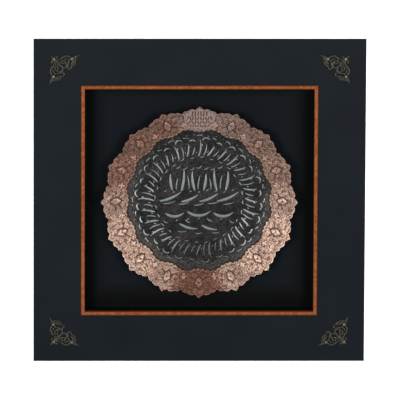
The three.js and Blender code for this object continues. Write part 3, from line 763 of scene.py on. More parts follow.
# Stems, as (sideways, outward, half width)
WING = ((6.0, -4.4, 0.7), (8.4, -5.8, 0.9), (11.0, -7.4, 0.9), (13.8, -9.6, 0.7), (15.6, -11.8, 0.3))
PETAL = (
    (1.2, -12.6, 0.4), (4.0, -9.4, 0.55), (7.4, -8.2, 0.6), (10.6, -9.4, 0.6), (13.2, -12.0, 0.5),
    (14.4, -14.6, 0.3),
)
ARCH = (
    (27.4, -9.6, 0.5), (26.0, -0.8, 0.5), (24.6, 7.0, 0.5), (19.0, 14.0, 0.5), (10.0, 20.0, 0.5),
    (0.0, 24.2, 0.5),
)
VINES = (
    ((1.5, 25.0, 0.5), (8.4, 22.0, 0.8), (17.0, 19.0, 0.8), (26.6, 15.2, 0.8), (31.4, 11.6, 0.5)),
    (
        (8.4, 8.6, 0.5), (15.4, 10.6, 0.8), (19.4, 8.8, 0.8), (26.0, 7.2, 0.7), (26.6, 2.4, 0.7),
        (31.0, 2.0, 0.4),
    ),
    ((14.6, -4.4, 0.5), (16.8, -7.2, 0.8), (22.6, -10.2, 0.6)),
)
# Half widths of the lozenge's parts along the middle line, as (outward, half width)
LOZENGE_BODY = ((-4.0, 4.8), (-1.6, 6.1), (0.9, 6.4), (3.4, 5.5), (6.5, 3.4), (10.1, 0.0))
LOZENGE_TAIL = ((-10.0, 0.0), (-7.0, 3.0), (-4.2, 4.8), (-2.2, 4.8), (0.2, 0.0))
LOZENGE_BED = (
    (-12.5, 0.0), (-7.8, 4.8), (-4.2, 7.2), (-1.2, 8.3), (1.2, 8.3), (4.3, 7.1), (8.2, 4.0), (13.2, 0.0),
)
CHEVRON_APEX = 1.1
CHEVRON_SLOPE = 0.72
# How far cut lines, beds and sunk leaves lie below the plain rim
CUT = -0.4 * MM
BORDER_CUT = -0.3 * MM


def scroll_paths():
    """Every scroll's centre line and leaves, as one path in metres. A scroll winds in at an even rate, one
    turn to a fifth of its radius, round a bud, and leaves curl off its outer turn."""
    parts = []

    def add(sideways, outward, reach, angle, half_width):
        x, y = sideways + reach * np.cos(angle), outward + reach * np.sin(angle)
        parts.append(np.stack([x, y, half_width], axis=-1))

    share, along = np.linspace(0, 1, 34), np.linspace(0, 1, 8)
    for sideways, outward, radius, start, turn in SCROLLS:
        angle = start * DEGREE + turn * 2 * math.pi * share
        add(sideways, outward, radius * (1 - 0.78 * share), angle, 0.85 - 0.25 * share)
        parts.append(np.array([[sideways, outward, 1.0]]))
        for leaf_share in (0.0, 0.22, 0.44):
            angle = start * DEGREE + turn * 2 * math.pi * leaf_share - turn * 0.45 * along
            reach = radius * (1 - 0.78 * leaf_share) + 2.3 * along
            add(sideways, outward, reach, angle, 0.4 + 0.6 * np.sin(np.pi * along))
    parts += [curve_through(vine, 60) for vine in VINES]
    return np.concatenate(parts) * MM


# Rows of cuts on the plain segment: outward place, spacing, length, width, lean
CARTOUCHE_ROWS = (
    (13.8, 5.2, 9.4, 1.7, 0.1),
    (4.4, 4.7, 6.4, 1.7, 0.4),
    (-3.6, 5.0, 6.4, 1.7, -0.5),
    (-11.0, 4.6, 4.4, 1.5, 0.5),
)


def paint(relief, mask, height, tone):
    """Blends a height and a tone into the relief where the mask is 1."""
    relief["height"] += (height - relief["height"]) * mask
    relief["tone"] += (tone - relief["tone"]) * mask


# Punch marks of the ground: spacing of their rows, and how many stand across a segment
PUNCH_ROW = 2.9 * MM
PUNCHES = 18


def bordered_relief(angle, radius, settings):
    """What every segment has: a matted ground, and along the outline and the lip a bead inside a cut line.
    The ground's punch marks are a cosine outwards times a cosine sideways that shifts by a quarter from row
    to row."""
    from_outline = outline_radius(angle) - radius
    from_lip = radius - lip_radius(angle)
    across, along = (radius - LIP_RADIUS) / PUNCH_ROW, angle / SEGMENT_ANGLE * PUNCHES
    punched = np.cos(math.pi * across) * np.cos(2 * math.pi * (along + 0.25 * np.floor(across)))
    relief = {"height": settings.ground_depth * (0.25 * punched - 1), "tone": -0.3 + 0.3 * punched}
    paint(relief, within(from_outline - 3.1 * MM), -0.35 * MM, -0.4)
    paint(relief, within(from_outline - 2.3 * MM), 0.2 * MM, 0.6)
    paint(relief, within(from_lip - 2.9 * MM), BORDER_CUT, -0.3)
    paint(relief, within(from_lip - 1.9 * MM), 0.15 * MM, 0.7)
    return relief


def paint_star(relief, angle, radius):
    """A four-pointed star where two medallions meet. Seen from its middle its reach falls from each point
    to the notch between, as a triangle wave to the power 1.3, and it rises to a soft peak."""
    off = off_centre(angle + SEGMENT_ANGLE / 2)
    sideways, outward = radius * np.sin(off), radius * np.cos(off) - STAR_RADIUS
    bearing = np.abs(((np.arctan2(sideways, outward) / (math.pi / 2) + 0.5) % 1) - 0.5) * 2
    reach = (3.4 + 3.7 * (1 - bearing) ** 1.3) * MM
    distance = np.hypot(sideways, outward) - reach
    paint(relief, within(distance - 1.1 * MM), CUT, -0.9)
    height = 0.5 * MM + 0.3 * MM * np.clip(-distance / (3 * MM), 0, 1)
    paint(relief, within(distance), height, 1.15)


def inside_borders(angle, radius, from_outline, from_lip):
    """1 on a segment's field, further in than the borders along the outline and the lip."""
    outer = within(from_outline - (outline_radius(angle) - radius))
    return outer * within(from_lip - (radius - lip_radius(angle)))


def half_width_along(outward, knots):
    """A half width along the middle line, read straight between knots of (outward, half width)."""
    places, widths = np.array(knots).T * MM
    return np.interp(outward, places, widths, left=-1 * MM, right=-1 * MM)


def lozenge_rise(sideways, width, height):
    """A low hipped leaf: highest on its middle line, a fifth lower at its edge, falling at both points."""
    share = np.clip(sideways / np.maximum(width, 0.1 * MM), 0, 1)
    return height * (1 - 0.2 * share) * np.clip(width / (2 * MM), 0, 1) ** 0.6


def medallion_relief(angle, radius, settings):
    """Height and tone of one medallion, from its middle line: the lozenge in its dark bed, cut by a chevron
    into body and tail, two wings with a petal's edge under each, sunk leaves, an arch, and scrolls over the
    matted ground. Both sides mirror."""
    sideways = np.abs(radius * np.sin(angle))
    outward = radius * np.cos(angle) - LOZENGE_RADIUS
    relief = bordered_relief(angle, radius, settings)
    inner = inside_borders(angle, radius, 2.8 * MM, 2.4 * MM)
    vines = within(distance_to_path(sideways, outward, scroll_paths()), 0.3 * MM)
    paint(relief, vines * inner, settings.vine_height, 0.45)
    for stem, tone in ((ARCH, 0.6), (PETAL, 0.8)):
        line = distance_to_path(sideways, outward, curve_through(stem, 120) * MM)
        paint(relief, within(line - 0.4 * MM) * inner, -settings.ground_depth, -0.5)
        paint(relief, within(line, 0.35 * MM) * inner, 1.5 * settings.vine_height, tone)
    for side, out, length, half_width, heading, tone in SUNK_LEAVES:
        c, s = math.cos(heading * DEGREE), math.sin(heading * DEGREE)
        right, up = sideways - side * MM, outward - out * MM
        along, across = up * c + right * s, np.abs(right * c - up * s)
        width = leaf_half_width(along, length / 2 * MM, half_width * MM)
        paint(relief, within(across - width) * within(np.abs(along) - length / 2 * MM), CUT, tone)
    wing = distance_to_path(sideways, outward, curve_through(WING, 70) * MM)
    paint(relief, within(wing), CUT, -1.0)
    paint(relief, within(sideways - half_width_along(outward, LOZENGE_BED)), CUT, -1.2)
    chevron = CHEVRON_APEX * MM - CHEVRON_SLOPE * sideways - outward
    for knots, cut in ((LOZENGE_BODY, chevron), (LOZENGE_TAIL, -1 * MM)):
        width = half_width_along(outward, knots)
        rise = lozenge_rise(sideways, width, settings.lozenge_height)
        paint(relief, within(np.maximum(sideways - width, cut + 0.2 * MM), 0.3 * MM), rise, 0.85)
    paint_star(relief, angle, radius)
    return relief


def cartouche_relief(angle, radius, settings):
    """Height and tone of the plain segment: a smooth field inside a cut line, with rows of upright cuts.
    Along each row they are evenly spaced and lean by turns."""
    sideways = radius * np.sin(angle)
    outward = radius * np.cos(angle) - LOZENGE_RADIUS
    relief = bordered_relief(angle, radius, settings)
    to_side = (SEGMENT_ANGLE / 2 - np.abs(angle)) * radius
    inner = inside_borders(angle, radius, 3.2 * MM, 3.0 * MM)
    field = inner * within(2.4 * MM - to_side)
    paint(relief, within(1.2 * MM - to_side) * inner, BORDER_CUT, -0.9)
    paint(relief, field, 0.0, 0.95)
    for level, spacing, length, width, lean in CARTOUCHE_ROWS:
        rise = outward - level * MM
        place = sideways / (spacing * MM) + 0.5
        near = (place - np.round(place)) * spacing * MM
        slant = np.where(np.round(place) % 2 == 0, lean, -0.6 * lean) * rise
        cut = within(np.abs(near - slant) - width / 2 * MM, 0.4 * MM)
        cut = cut * within(np.abs(rise) - length / 2 * MM)
        reach = (24.0 - 0.5 * abs(level)) * MM
        paint(relief, cut * within(np.abs(sideways) - reach), CUT, -2.3)
    paint_star(relief, angle, radius)
    return relief


# Dish's grid: points across a segment, rows from lip to outline, and the well's thinning, as up to which
# share of its radius one point in how many stays
RIM_COLUMNS = 84
RIM_ROWS = 56
WELL_THINNING = ((0.15, 16), (0.35, 8), (0.75, 4), (0.97, 2), (2.0, 1))
# Well: how wide and how high its floor climbs towards the edge, and its tone in the middle
WELL_MARGIN = 20 * MM
WELL_RISE = 0.4 * MM
WELL_TONE = -0.72
# Patches of painted shade, laid as a darker film over the copper: middle and half width in degrees clockwise
# from the top, and thickness
PAINTED_SHADE_PATCHES = ((181, 16.5, 1.1), (52, 36, 0.35), (312, 38, 0.6))
COPPER_FINISH, WELL_FINISH = 0, 1


def rim_shares(rows):
    """Rows from lip to outline, closer together over the beads at both edges."""
    edge = np.linspace(0, 0.075, 6)
    middle = np.linspace(0.075, 0.925, rows - 10)
    return np.concatenate([edge, middle[1:-1], 1 - edge[::-1]])


def rim_patches(settings):
    """Heights and tones of the whole rim, one row of points for each share, from one medallion repeated
    round the dish with the plain segment in the first place."""
    angle = (np.arange(RIM_COLUMNS) / RIM_COLUMNS - 0.5) * SEGMENT_ANGLE
    share = rim_shares(RIM_ROWS)[:, None]
    radius = lip_radius(angle) + share * (outline_radius(angle) - lip_radius(angle))
    angle = np.broadcast_to(angle, radius.shape)
    medallion = medallion_relief(angle, radius, settings)
    plain = cartouche_relief(angle, radius, settings)
    others = SEGMENTS - 1
    return [np.concatenate([plain[key], *[medallion[key]] * others], axis=1) for key in ("height", "tone")]


def painted_shade_film(angle):
    """How much painted shade lies over the copper as a darker film: most on the lowest medallion, and softer
    patches on both shoulders. Each is a bell: e to the power of less the sixth power of (angle from its
    middle over half width)."""
    film = 0.0
    for middle, half_width, thickness in PAINTED_SHADE_PATCHES:
        off = (angle / DEGREE - middle + 180) % 360 - 180
        film = film + thickness * np.exp(-((off / half_width) ** 6))
    return film


def well_tone(angle, climb):
    """The well's tone: dark in the middle. Towards the edge it lightens with how far the floor has climbed,
    as
    painted light: more below than above by a cosine of the angle, more at the sides by its squared sine, and
    less at the foot by a bell of painted shade."""
    foot = np.exp(-(((np.abs(angle) / DEGREE - 180) / 22) ** 4))
    painted_edge_light = 0.4 - 0.45 * np.cos(angle) + 0.35 * np.sin(angle) ** 2 - 0.4 * foot
    return WELL_TONE + (painted_edge_light - 0.13) * climb


def dish_rings(settings):
    """The sheet's rings of points from the middle of the well out over the rim and back underneath, each
    with the points' tone and painted shade film, and the finish of the faces that follow it."""
    full = RIM_COLUMNS * SEGMENTS
    rings = []

    def angles(count):
        return -0.5 * SEGMENT_ANGLE + 2 * math.pi * np.arange(count) / count

    def add(radius, angle, y, tone, finish=COPPER_FINISH):
        points = polar_points(radius, angle, y)
        rings.append((points, np.broadcast_to(tone, angle.shape), painted_shade_film(angle), finish))

    add(0.0, np.zeros(1), WELL_Y, WELL_TONE, WELL_FINISH)
    for share in np.concatenate([np.linspace(0.06, 0.8, 12), np.linspace(0.83, 1, 10)]):
        angle = angles(full // next(part for limit, part in WELL_THINNING if share < limit))
        edge = lip_radius(angle) - LIP_RUN
        radius = share * (LIP_RADIUS - LIP_RUN + (edge - LIP_RADIUS + LIP_RUN) * share**6)
        climb = smooth_step(1 - (edge - radius) / WELL_MARGIN)
        add(radius, angle, WELL_Y - WELL_RISE * climb**2, well_tone(angle, climb), WELL_FINISH)
    fine, half, quarter = angles(full), angles(full // 2), angles(full // 4)
    lip, outline = lip_radius(fine), outline_radius(fine)
    # The wall's upper rows are bare, light copper: a painted highlight along the lip, where the steep wall
    # lies in shade.
    wall = ((0.35, -0.4, WELL_FINISH), (0.75, 0.9, COPPER_FINISH), (0.9, 0.9, COPPER_FINISH))
    for share, tone, finish in wall:
        y = WELL_Y - WELL_RISE + (LIP_Y - WELL_Y + WELL_RISE) * smooth_step(share)
        add(lip - LIP_RUN * (1 - share), fine, y, tone, finish)
    for share, height, tone in zip(rim_shares(RIM_ROWS), *rim_patches(settings)):
        radius = lip + share * (outline - lip)
        add(radius, fine, rim_y(fine, radius) - height, tone)
    add(outline - 0.05 * MM, fine, rim_y(fine, outline) + 0.5 * SHEET, 0.4)
    lip, outline = lip_radius(half), outline_radius(half)
    for share in (1.0, 0.75, 0.5, 0.25, 0.0):
        radius = lip + share * (outline - lip) - (0.25 * MM if share == 1 else 0)
        add(radius, half, rim_y(half, radius) + SHEET, 0.1)
    for share in (0.5, 1.0):
        drop = LIP_Y + SHEET + (WELL_BACK_Y - LIP_Y - SHEET) * smooth_step(share)
        add(lip_radius(quarter) - LIP_RUN * share, quarter, drop, 0.0)
    for share, part in ((0.8, 8), (0.5, 16), (0.25, 16)):
        add(share * (LIP_RADIUS - LIP_RUN), angles(full // part), WELL_BACK_Y, 0.0)
    add(0.0, np.zeros(1), WELL_BACK_Y, 0.0)
    return rings


def build_copper_dish(settings):
    """One closed sheet: triangles join each ring to the next, and a ring with half as many points takes
    every second point of its neighbour."""
    copper = metal_material(
        "engraved_copper", settings.copper, settings.patina, blotch_scale=55.0, blotch=0.4,
        shine=0.46, dull=0.54, bump=0.1 * MM, metallic=0.88, tarnish_and_painted_shade=None, speckle=1.45,
    )
    well = metal_material(
        "blackened_well", (0.15, 0.128, 0.112), settings.well, blotch_scale=45.0, blotch=1.5,
        shine=0.42, dull=0.62, bump=0.4 * MM, metallic=0.75, speckle=0.75,
    )
    rings = dish_rings(settings)
    counts = np.array([len(points) for points, *_ in rings])
    starts = np.concatenate([[0], np.cumsum(counts)[:-1]])
    ends = zip(starts, counts, starts[1:], counts[1:])
    groups = [ring_faces(*pair) for pair in ends]
    points, tones, painted_shade_films = (np.concatenate([ring[part] for ring in rings]) for part in range(3))
    finishes = np.concatenate([np.full(len(faces), ring[3]) for faces, ring in zip(groups, rings)])
    # The rim's film is painted shade: darker and warmer on the lowest medallion and both shoulders.
    values = {"tone": tones, "tarnish_and_painted_shade": painted_shade_films}
    dish = new_piece("copper_dish", points, groups, sharp=70 * DEGREE, values=values, finish_index=finishes)
    dress(dish, [copper, well], "copper", "copper_plaque")


# Strokes


def stroke_swell(share):
    """A stroke's width along its length: narrow at both ends and fullest before its middle, as a sine arch
    kept off zero at its ends, to the power 0.6, times a straight fall."""
    return np.sin(np.pi * (0.06 + 0.88 * share)) ** 0.6 * (1.1 - 0.45 * share)


# Section of a stroke: across as a share of its half width, up as a share of its height
STROKE_SECTION = np.array([
    (-1.4, -0.35), (-1.4, 0.1), (-1, 0.14), (-0.86, 0.6), (-0.55, 0.92), (0, 1), (0.55, 0.92), (0.86, 0.6),
    (1, 0.14), (1.4, 0.1), (1.4, -0.35),
])
# Strokes in rows across the well, in millimetres and degrees: count, reach to either side, height above the
# middle, length, heading, bend, half width, and whether every second one leans the other way
LARGE_ROWS = (
    (6, 50, 35, 36, 97, -24, 3.3, True),
    (4, 52, 5, 38, 24, 36, 3.6, False),
    (3, 44, -23, 40, 2, 84, 3.8, False),
    (2, 19, -49, 34, -16, 40, 3.4, False),
)
SMALL_ROWS = (
    (5, 40, 32, 25, 82, -20, 1.5, True),
    (5, 54, -6, 21, 12, 30, 1.5, False),
    (4, 60, -39, 11, -30, 70, 1.4, False),
    (3, 30, -60, 15, 4, 40, 1.3, False),
    (7, 38, 60, 10, 30, 80, 1.3, False),
    (9, 61, 16.5, 4.6, 35, 0, 1.5, False),
    (5, 40, -36, 4.4, 35, 0, 1.4, False),
)
# Strokes in rings round it: count, radius, length, heading, bend, half width, and start as a share of their
# spacing
LARGE_RINGS = (
    (28, 95, 26, 76, 34, 2.2, 0),
    (28, 110.5, 15, 0, -120, 1.9, 0.5),
)
SMALL_RINGS = (
    (28, 93, 18, 74, 34, 1.4, 0.5),
    (28, 80.5, 8, 14, 80, 1.15, 0.28),
    (28, 101, 3.8, 60, 0, 1.3, 0.24),
    (28, 90, 3.4, 60, 0, 1.2, 0.76),
    (28, 117.4, 11, -14, -60, 1.15, 0.05),
    (56, 121.4, 2.8, 40, 0, 0.8, 0.3),
)


def middle_row(count, reach, z, length, heading, bend, half_width, alternates):
    """A row of strokes across the well. Each is set off by a cosine of its number, and where the row
    alternates every second one leans the other way."""
    index = np.arange(count)
    sway = np.cos(2.1 * index + 0.1 * z)
    back = (index % 2 == 1) & alternates
    return {
        "x": reach * (2 * index / (count - 1) - 1),
        "z": z + 2 * sway,
        "length": length * (1 + 0.14 * sway),
        "heading": np.where(back, 180 - heading, heading),
        "bend": np.where(back, -bend, bend),
        "half_width": np.full(count, half_width),
    }


def ring_row(count, radius, length, heading, bend, half_width, start):
    """A row of strokes round the well. Heading 90 points away from the centre, and 0 runs round the ring.
    Each is set off by a cosine of its number."""
    index = np.arange(count)
    around = (index + start) / count * 360
    sway = np.cos(2.4 * index + start)
    reach = radius + 1.5 * sway
    return {
        "x": reach * np.sin(around * DEGREE),
        "z": reach * np.cos(around * DEGREE),
        "length": length * (1 + 0.18 * sway),
        "heading": heading + 9 * sway - around,
        "bend": bend * (1 + 0.2 * sway),
        "half_width": np.full(count, half_width),
    }


def silver_film_and_painted_light(x, z):
    """How much dark film dulls the silver: 0.62 over the middle. Round the ring a painted glint takes it off
    on both flanks and painted shade thickens it at the foot, each a bell of the bearing from the top."""
    bearing = np.arctan2(np.abs(x), z) / DEGREE
    ring = smooth_step((np.hypot(x, z) - 68) / 20)
    flank = np.exp(-(((bearing - 108) / 36) ** 4))
    foot = np.exp(-(((bearing - 180) / 30) ** 4))
    return 0.62 + ring * (0.6 * foot - 0.68 * flank)


def stroke_points(row, stations, height):
    """Each stroke's section carried along its centre line, which turns evenly from end to end: the way at a
    share is the heading plus the bend times the share less a half, and the line is the sum of its steps.
    Where the stroke is narrow it is lower, by the root of its width over 1.6 mm."""
    share = (np.arange(stations - 1) + 0.5) / (stations - 1)
    way = (row["heading"][:, None] + row["bend"][:, None] * (share - 0.5)) * DEGREE
    step = row["length"][:, None] / (stations - 1)
    lines = []
    for part, middle in ((np.cos(way), row["x"]), (np.sin(way), row["z"] - DISH_DROP / MM)):
        line = np.concatenate([np.zeros((len(middle), 1)), np.cumsum(part * step, axis=1)], axis=1)
        lines.append(line - (line[:, :1] + line[:, -1:]) / 2 + middle[:, None])
    swell = stroke_swell(np.linspace(0, 1, stations))
    width = np.maximum(row["half_width"][:, None] * swell, 0.3)
    lift = height * np.minimum(width / 1.6, 1.0) ** 0.5
    across, up = STROKE_SECTION.T
    x, z = beside_line(*lines, width, across)
    y = WELL_Y - lift[..., None] * up
    # The tone takes the film: a painted glint on the ring's flanks and painted shade at its foot.
    tone = np.clip(2.2 * up - 1.3, -1, 0.9) - silver_film_and_painted_light(x, z + DISH_DROP / MM)
    return np.stack([x * MM, y, z * MM], axis=-1), tone


# Kinds of rows: how each is laid out, its rows, stations along a stroke, and share of the full height
STROKE_KINDS = (
    (middle_row, LARGE_ROWS, 26, 1.0),
    (ring_row, LARGE_RINGS, 18, 1.0),
    (middle_row, SMALL_ROWS, 8, 0.75),
    (ring_row, SMALL_RINGS, 8, 0.75),
)


def build_strokes(settings):
    """Strokes: one mesh of many closed strokes, each standing a little way into the well's floor."""
    silver = metal_material(
        "silvered_copper", settings.silver, (0.03, 0.034, 0.033), blotch_scale=90.0, blotch=0.4,
        shine=0.34, dull=0.58, bump=0.12 * MM, metallic=0.85, speckle=0.35,
    )
    points, tones, groups, start = [], [], [], 0
    for lay_out, rows, stations, share in STROKE_KINDS:
        for row in rows:
            placed, tone = stroke_points(lay_out(*row), stations, share * settings.stroke_height)
            copies, section = len(placed), placed.shape[2]
            for faces in tube_faces(stations, section):
                groups.append(tiled_faces(faces, copies, stations * section) + start)
            points.append(placed.reshape(-1, 3))
            tones.append(tone.ravel())
            start += copies * stations * section
    values = {"tone": np.concatenate(tones)}
    strokes = new_piece("well_strokes", np.concatenate(points), groups, values=values)
    dress(strokes, [silver], "copper", "copper_plaque")


# Corner ornaments and nails

CORNER_NAIL = (6.5, -6.5)
ARM_NAIL = (37.9, -6)
SCROLL_EYE = (23.8, -11.4)
# One arm's strips from the corner's outer point, x to the right and z upwards, as (x, z, half width) in
# millimetres
ARM_STRIPS = {
    "outer_side_of_scroll": (
        (7, -6.8, 1.6), (12.7, -7.9, 0.9), (17.5, -6.3, 0.9), (23, -2.6, 1.3), (28.5, -0.8, 1.6),
        (33.3, -2.6, 1.5), (37.5, -5.4, 1.3),
    ),
    "inner_side_of_scroll": (
        (7, -7.2, 1.4), (12, -12.2, 1.3), (17.3, -17.4, 1.4), (20.6, -20.9, 1.4), (26.4, -21.9, 1.8),
        (30.4, -19.6, 1.5), (31.8, -14.2, 1.3), (33, -9.5, 1.2), (36.5, -6.6, 1.2),
    ),
    "bridge_from_eye": ((20.6, -9.6, 1), (20.7, -6.4, 0.9), (22.4, -3.2, 1.1)),
    "web_from_eye": ((27.2, -12, 1.4), (29.2, -16, 1.5), (28.6, -20, 2)),
    "pointed_tip": ((39, -4.4, 2.4), (44.8, -2, 1.7), (48.6, -0.7, 1.1), (52.0, 1.2, 0.2)),
    "end_leaf": ((45.6, -1.4, 1.4), (43, -5.8, 3), (42.6, -11, 2.8), (41.4, -15.8, 2.7), (37.2, -20.4, 0.9)),
    "knob": ((30.6, -20.6, 1.2), (32, -23.6, 1.2), (33.9, -25, 1.2), (35.9, -23.8, 1.1), (37.4, -20.4, 1)),
    "small_lobe": ((7.6, -5.6, 2.2), (10.6, -3.6, 2.1), (13.6, -2.6, 1.4)),
    "stem_to_eye": ((8.5, -7.4, 0.9), (14.0, -9.6, 0.8), (20.4, -10.6, 0.9)),
    "leaf_by_eye": ((21.4, -14.6, 0.8), (17.6, -13.4, 1.2), (14.6, -11.2, 0.4)),
    "inner_curl": ((33.0, -9.8, 0.8), (29.8, -6.2, 1.0), (26.6, -5.2, 0.9), (25.8, -7.6, 0.7)),
    "inner_leaf": ((40.6, -8.4, 0.9), (38.6, -12.6, 1.2), (36.6, -16.4, 0.9), (35.4, -19.4, 0.5)),
}
CORNER_LOBE = ((6.5, -6.5, 2.2), (4, -4, 1.7), (1.8, -1.8, 0.9))


def cast_strip(knots, stations=16):
    """A cast strip: a domed section carried along a curve. Across a share a its height is 0.4 plus 0.6
    times the root of 1 less a squared, of the thickness, and where it is wide its middle is hollowed by a
    parabola."""
    line = curve_through(knots, stations)
    width = np.maximum(line[:, 2], 0.2)
    across = np.array([-1, -1, -0.85, -0.6, -0.3, 0, 0.3, 0.6, 0.85, 1, 1])
    dome = 0.4 + 0.6 * np.sqrt(1 - across**2)
    dome[[0, -1]] = 0
    sunk = np.clip(1 - (across / 0.55) ** 2, 0, 1) * 0.35 * np.clip(width - 1.3, 0, 1)[:, None]
    up = (dome - sunk) * ORNAMENT_THICKNESS
    x, z = beside_line(line[:, 0], line[:, 1], width, across)
    tone = np.clip(2.4 * dome - 1.5, -1, 1) - 4 * sunk
    points = np.stack([x * MM, ORNAMENT_BACK_Y - up, z * MM], axis=-1)
    return points.reshape(-1, 3), tube_faces(len(line), len(across)), tone.ravel()


def cast_ring(centre, radius, bore):
    """A cast eye: a half-round section carried round a circle from its bore to its outside."""
    around = 28
    angle = np.linspace(0, 2 * math.pi, around, endpoint=False)[:, None]
    turn = np.linspace(0, math.pi, 7)
    middle, half = (radius + bore) / 2, (radius - bore) / 2
    reach = np.concatenate([middle - half * np.cos(turn), [radius, bore]])
    up = np.concatenate([0.4 + 0.6 * np.sin(turn), [0, 0]]) * ORNAMENT_THICKNESS
    tone = np.concatenate([np.sin(turn) * 1.6 - 0.8, [-1, -1]])
    x = centre[0] + reach * np.cos(angle)
    z = centre[1] + reach * np.sin(angle)
    points = np.stack([x * MM, np.broadcast_to(ORNAMENT_BACK_Y - up, x.shape), z * MM], axis=-1)
    section = len(reach)
    quads = grid_faces(around, section, around=True)
    here = np.arange(section)
    after, last = (here + 1) % section, (around - 1) * section
    closing = np.stack([here + last, after + last, after, here], axis=-1)
    return points.reshape(-1, 3), [quads, closing], np.broadcast_to(tone, x.shape).ravel()


def turned_piece(profile, around):
    """A piece turned round the Y axis from a profile of (radius, y) that starts and ends on it."""
    profile = np.asarray(profile, dtype=float)
    angle = np.linspace(0, 2 * math.pi, around, endpoint=False)
    radius = profile[1:-1, 0][:, None]
    y = np.broadcast_to(profile[1:-1, 1][:, None], (len(radius), around))
    rings = np.stack([radius * np.cos(angle), y, radius * np.sin(angle)], axis=-1).reshape(-1, 3)
    poles = np.array([[0, profile[0, 1], 0], [0, profile[-1, 1], 0]])
    count = len(rings)
    last = count - around
    here, after = np.arange(around), (np.arange(around) + 1) % around
    caps = np.concatenate([
        np.stack([np.full(around, count), after, here], axis=-1),
        np.stack([np.full(around, count + 1), last + here, last + after], axis=-1),
    ])
    return np.concatenate([rings, poles]), [grid_faces(len(radius), around, around=True), caps]


def nail_seat(place):
    """A low round seat with a raised edge under a nail's head."""
    radius = NAIL_SEAT_RADIUS
    top = ORNAMENT_BACK_Y - ORNAMENT_THICKNESS
    profile = [
        (0, ORNAMENT_BACK_Y), (radius, ORNAMENT_BACK_Y), (radius, top + 0.4 * MM), (0.94 * radius, top),
        (0.82 * radius, top), (0.7 * radius, top + 0.35 * MM), (0, top + 0.35 * MM),
    ]
    points, faces = turned_piece(profile, 24)
    tone = np.where(np.hypot(points[:, 0], points[:, 2]) > 0.8 * radius, 0.5, -0.9)
    return points + np.array([place[0] * MM, 0, place[1] * MM]), faces, tone


def across_diagonal(knot):
    """The same place on the other arm, mirrored across the corner's diagonal."""
    return (-knot[1], -knot[0], *knot[2:])


def enlarged(knot):
    """A place on the drawing at its real size. Widths stay as drawn."""
    return (knot[0] * ORNAMENT_SCALE, knot[1] * ORNAMENT_SCALE, *knot[2:])


def joined_parts(parts):
    """Several (points, face groups, tones) as one."""
    points, groups, tones, start = [], [], [], 0
    for part_points, part_groups, part_tones in parts:
        points.append(part_points)
        groups += [faces + start for faces in part_groups]
        tones.append(part_tones)
        start += len(part_points)
    return np.concatenate(points), groups, np.concatenate(tones)


def ornament_parts():
    """One corner's casting, at the top left, drawn from its outer corner point."""
    parts = [nail_seat(enlarged(place)) for place in (CORNER_NAIL, ARM_NAIL, across_diagonal(ARM_NAIL))]
    parts.append(cast_strip([enlarged(knot) for knot in CORNER_LOBE], 8))
    for arm in (tuple, across_diagonal):
        parts.append(cast_ring(enlarged(arm(SCROLL_EYE)), 4.1, 1.7))
        parts += [cast_strip([enlarged(arm(knot)) for knot in knots]) for knots in ARM_STRIPS.values()]
    points, groups, tones = joined_parts(parts)
    place = np.array([ORNAMENT_INSET - HALF_FRAME, 0, HALF_FRAME - ORNAMENT_INSET])
    return points + place, groups, tones


def build_ornaments(settings):
    """Ornaments: one casting, turned by quarters to the four corners."""
    brass = metal_material(
        "aged_brass", settings.brass, (0.016, 0.016, 0.013), blotch_scale=160.0, blotch=0.7,
        shine=0.4, dull=0.66, bump=0.1 * MM, metallic=0.9, tarnish_and_painted_shade=0.1,
    )
    points, groups, tones = ornament_parts()
    for turns, corner in enumerate(CORNERS):
        turned = quarter_turned(points, turns)
        casting = new_piece(f"corner_ornament_{corner}", turned, groups, values={"tone": tones})
        dress(casting, [brass], "aged_brass", f"ornament_{corner}")


def build_nails(settings):
    """Dome nails: the head's profile is a quarter of an ellipse, and the shank is pointed."""
    brass = metal_material(
        "nail_brass", settings.nail, (0.12, 0.09, 0.04), blotch_scale=300.0, blotch=0.5,
        shine=0.36, dull=0.56, bump=0.04 * MM, tone_shift=0.55,
    )
    head, shank, point = NAIL_HEAD_RADIUS, NAIL_SHANK_RADIUS, NAIL_POINT
    rise = np.linspace(0.1, 1, 8)[:-1]
    for corner in CORNERS:
        for number in (1, 2, 3):
            node = f"nail_{corner}_{number}"
            low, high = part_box(node)
            seat, tip = low.y + NAIL_HEAD_HEIGHT, high.y
            dome = [(head * math.sqrt(1 - part**2), seat - NAIL_HEAD_HEIGHT * part) for part in rise]
            profile = [(0, tip), (shank, tip - point), (shank, seat), (head, seat), *dome, (0, low.y)]
            points, faces = turned_piece(profile, 24)
            points += np.array([(low.x + high.x) / 2, 0, (low.z + high.z) / 2])
            tone = np.clip((seat - points[:, 1]) / NAIL_HEAD_HEIGHT, 0, 1) * 0.8 - 0.4
            nail = new_piece(f"dome_nail_{corner}_{number}", points, faces, values={"tone": tone})
            dress(nail, [brass], "nail_brass", node)


def build_hanger(settings):
    """The plate and its screws keep their solids, under zinc plating."""
    zinc = metal_material(
        "zinc_plating", settings.zinc, (0.2, 0.2, 0.19), blotch_scale=130.0, blotch=0.8,
        shine=0.28, dull=0.5, bump=0.05 * MM, tone_shift=0.45,
    )
    for node in ("hanger_plate", "hanger_screw_lower", "hanger_screw_upper"):
        refinish(node, zinc)


# Stage

FLOOR_LEVEL = -1.1
FLOOR_REACH = 60.0
# Soft boxes: size, distance and height above level, then each one's bearing and share of the full brightness
BOX_WIDTH = 1.3
BOX_HEIGHT = 1.4
BOX_DISTANCE = 4.0
BOX_ELEVATION = 6 * DEGREE
SOFT_BOXES = {"soft_box_left": (-33 * DEGREE, 1.0), "soft_box_right": (33 * DEGREE, 0.82)}


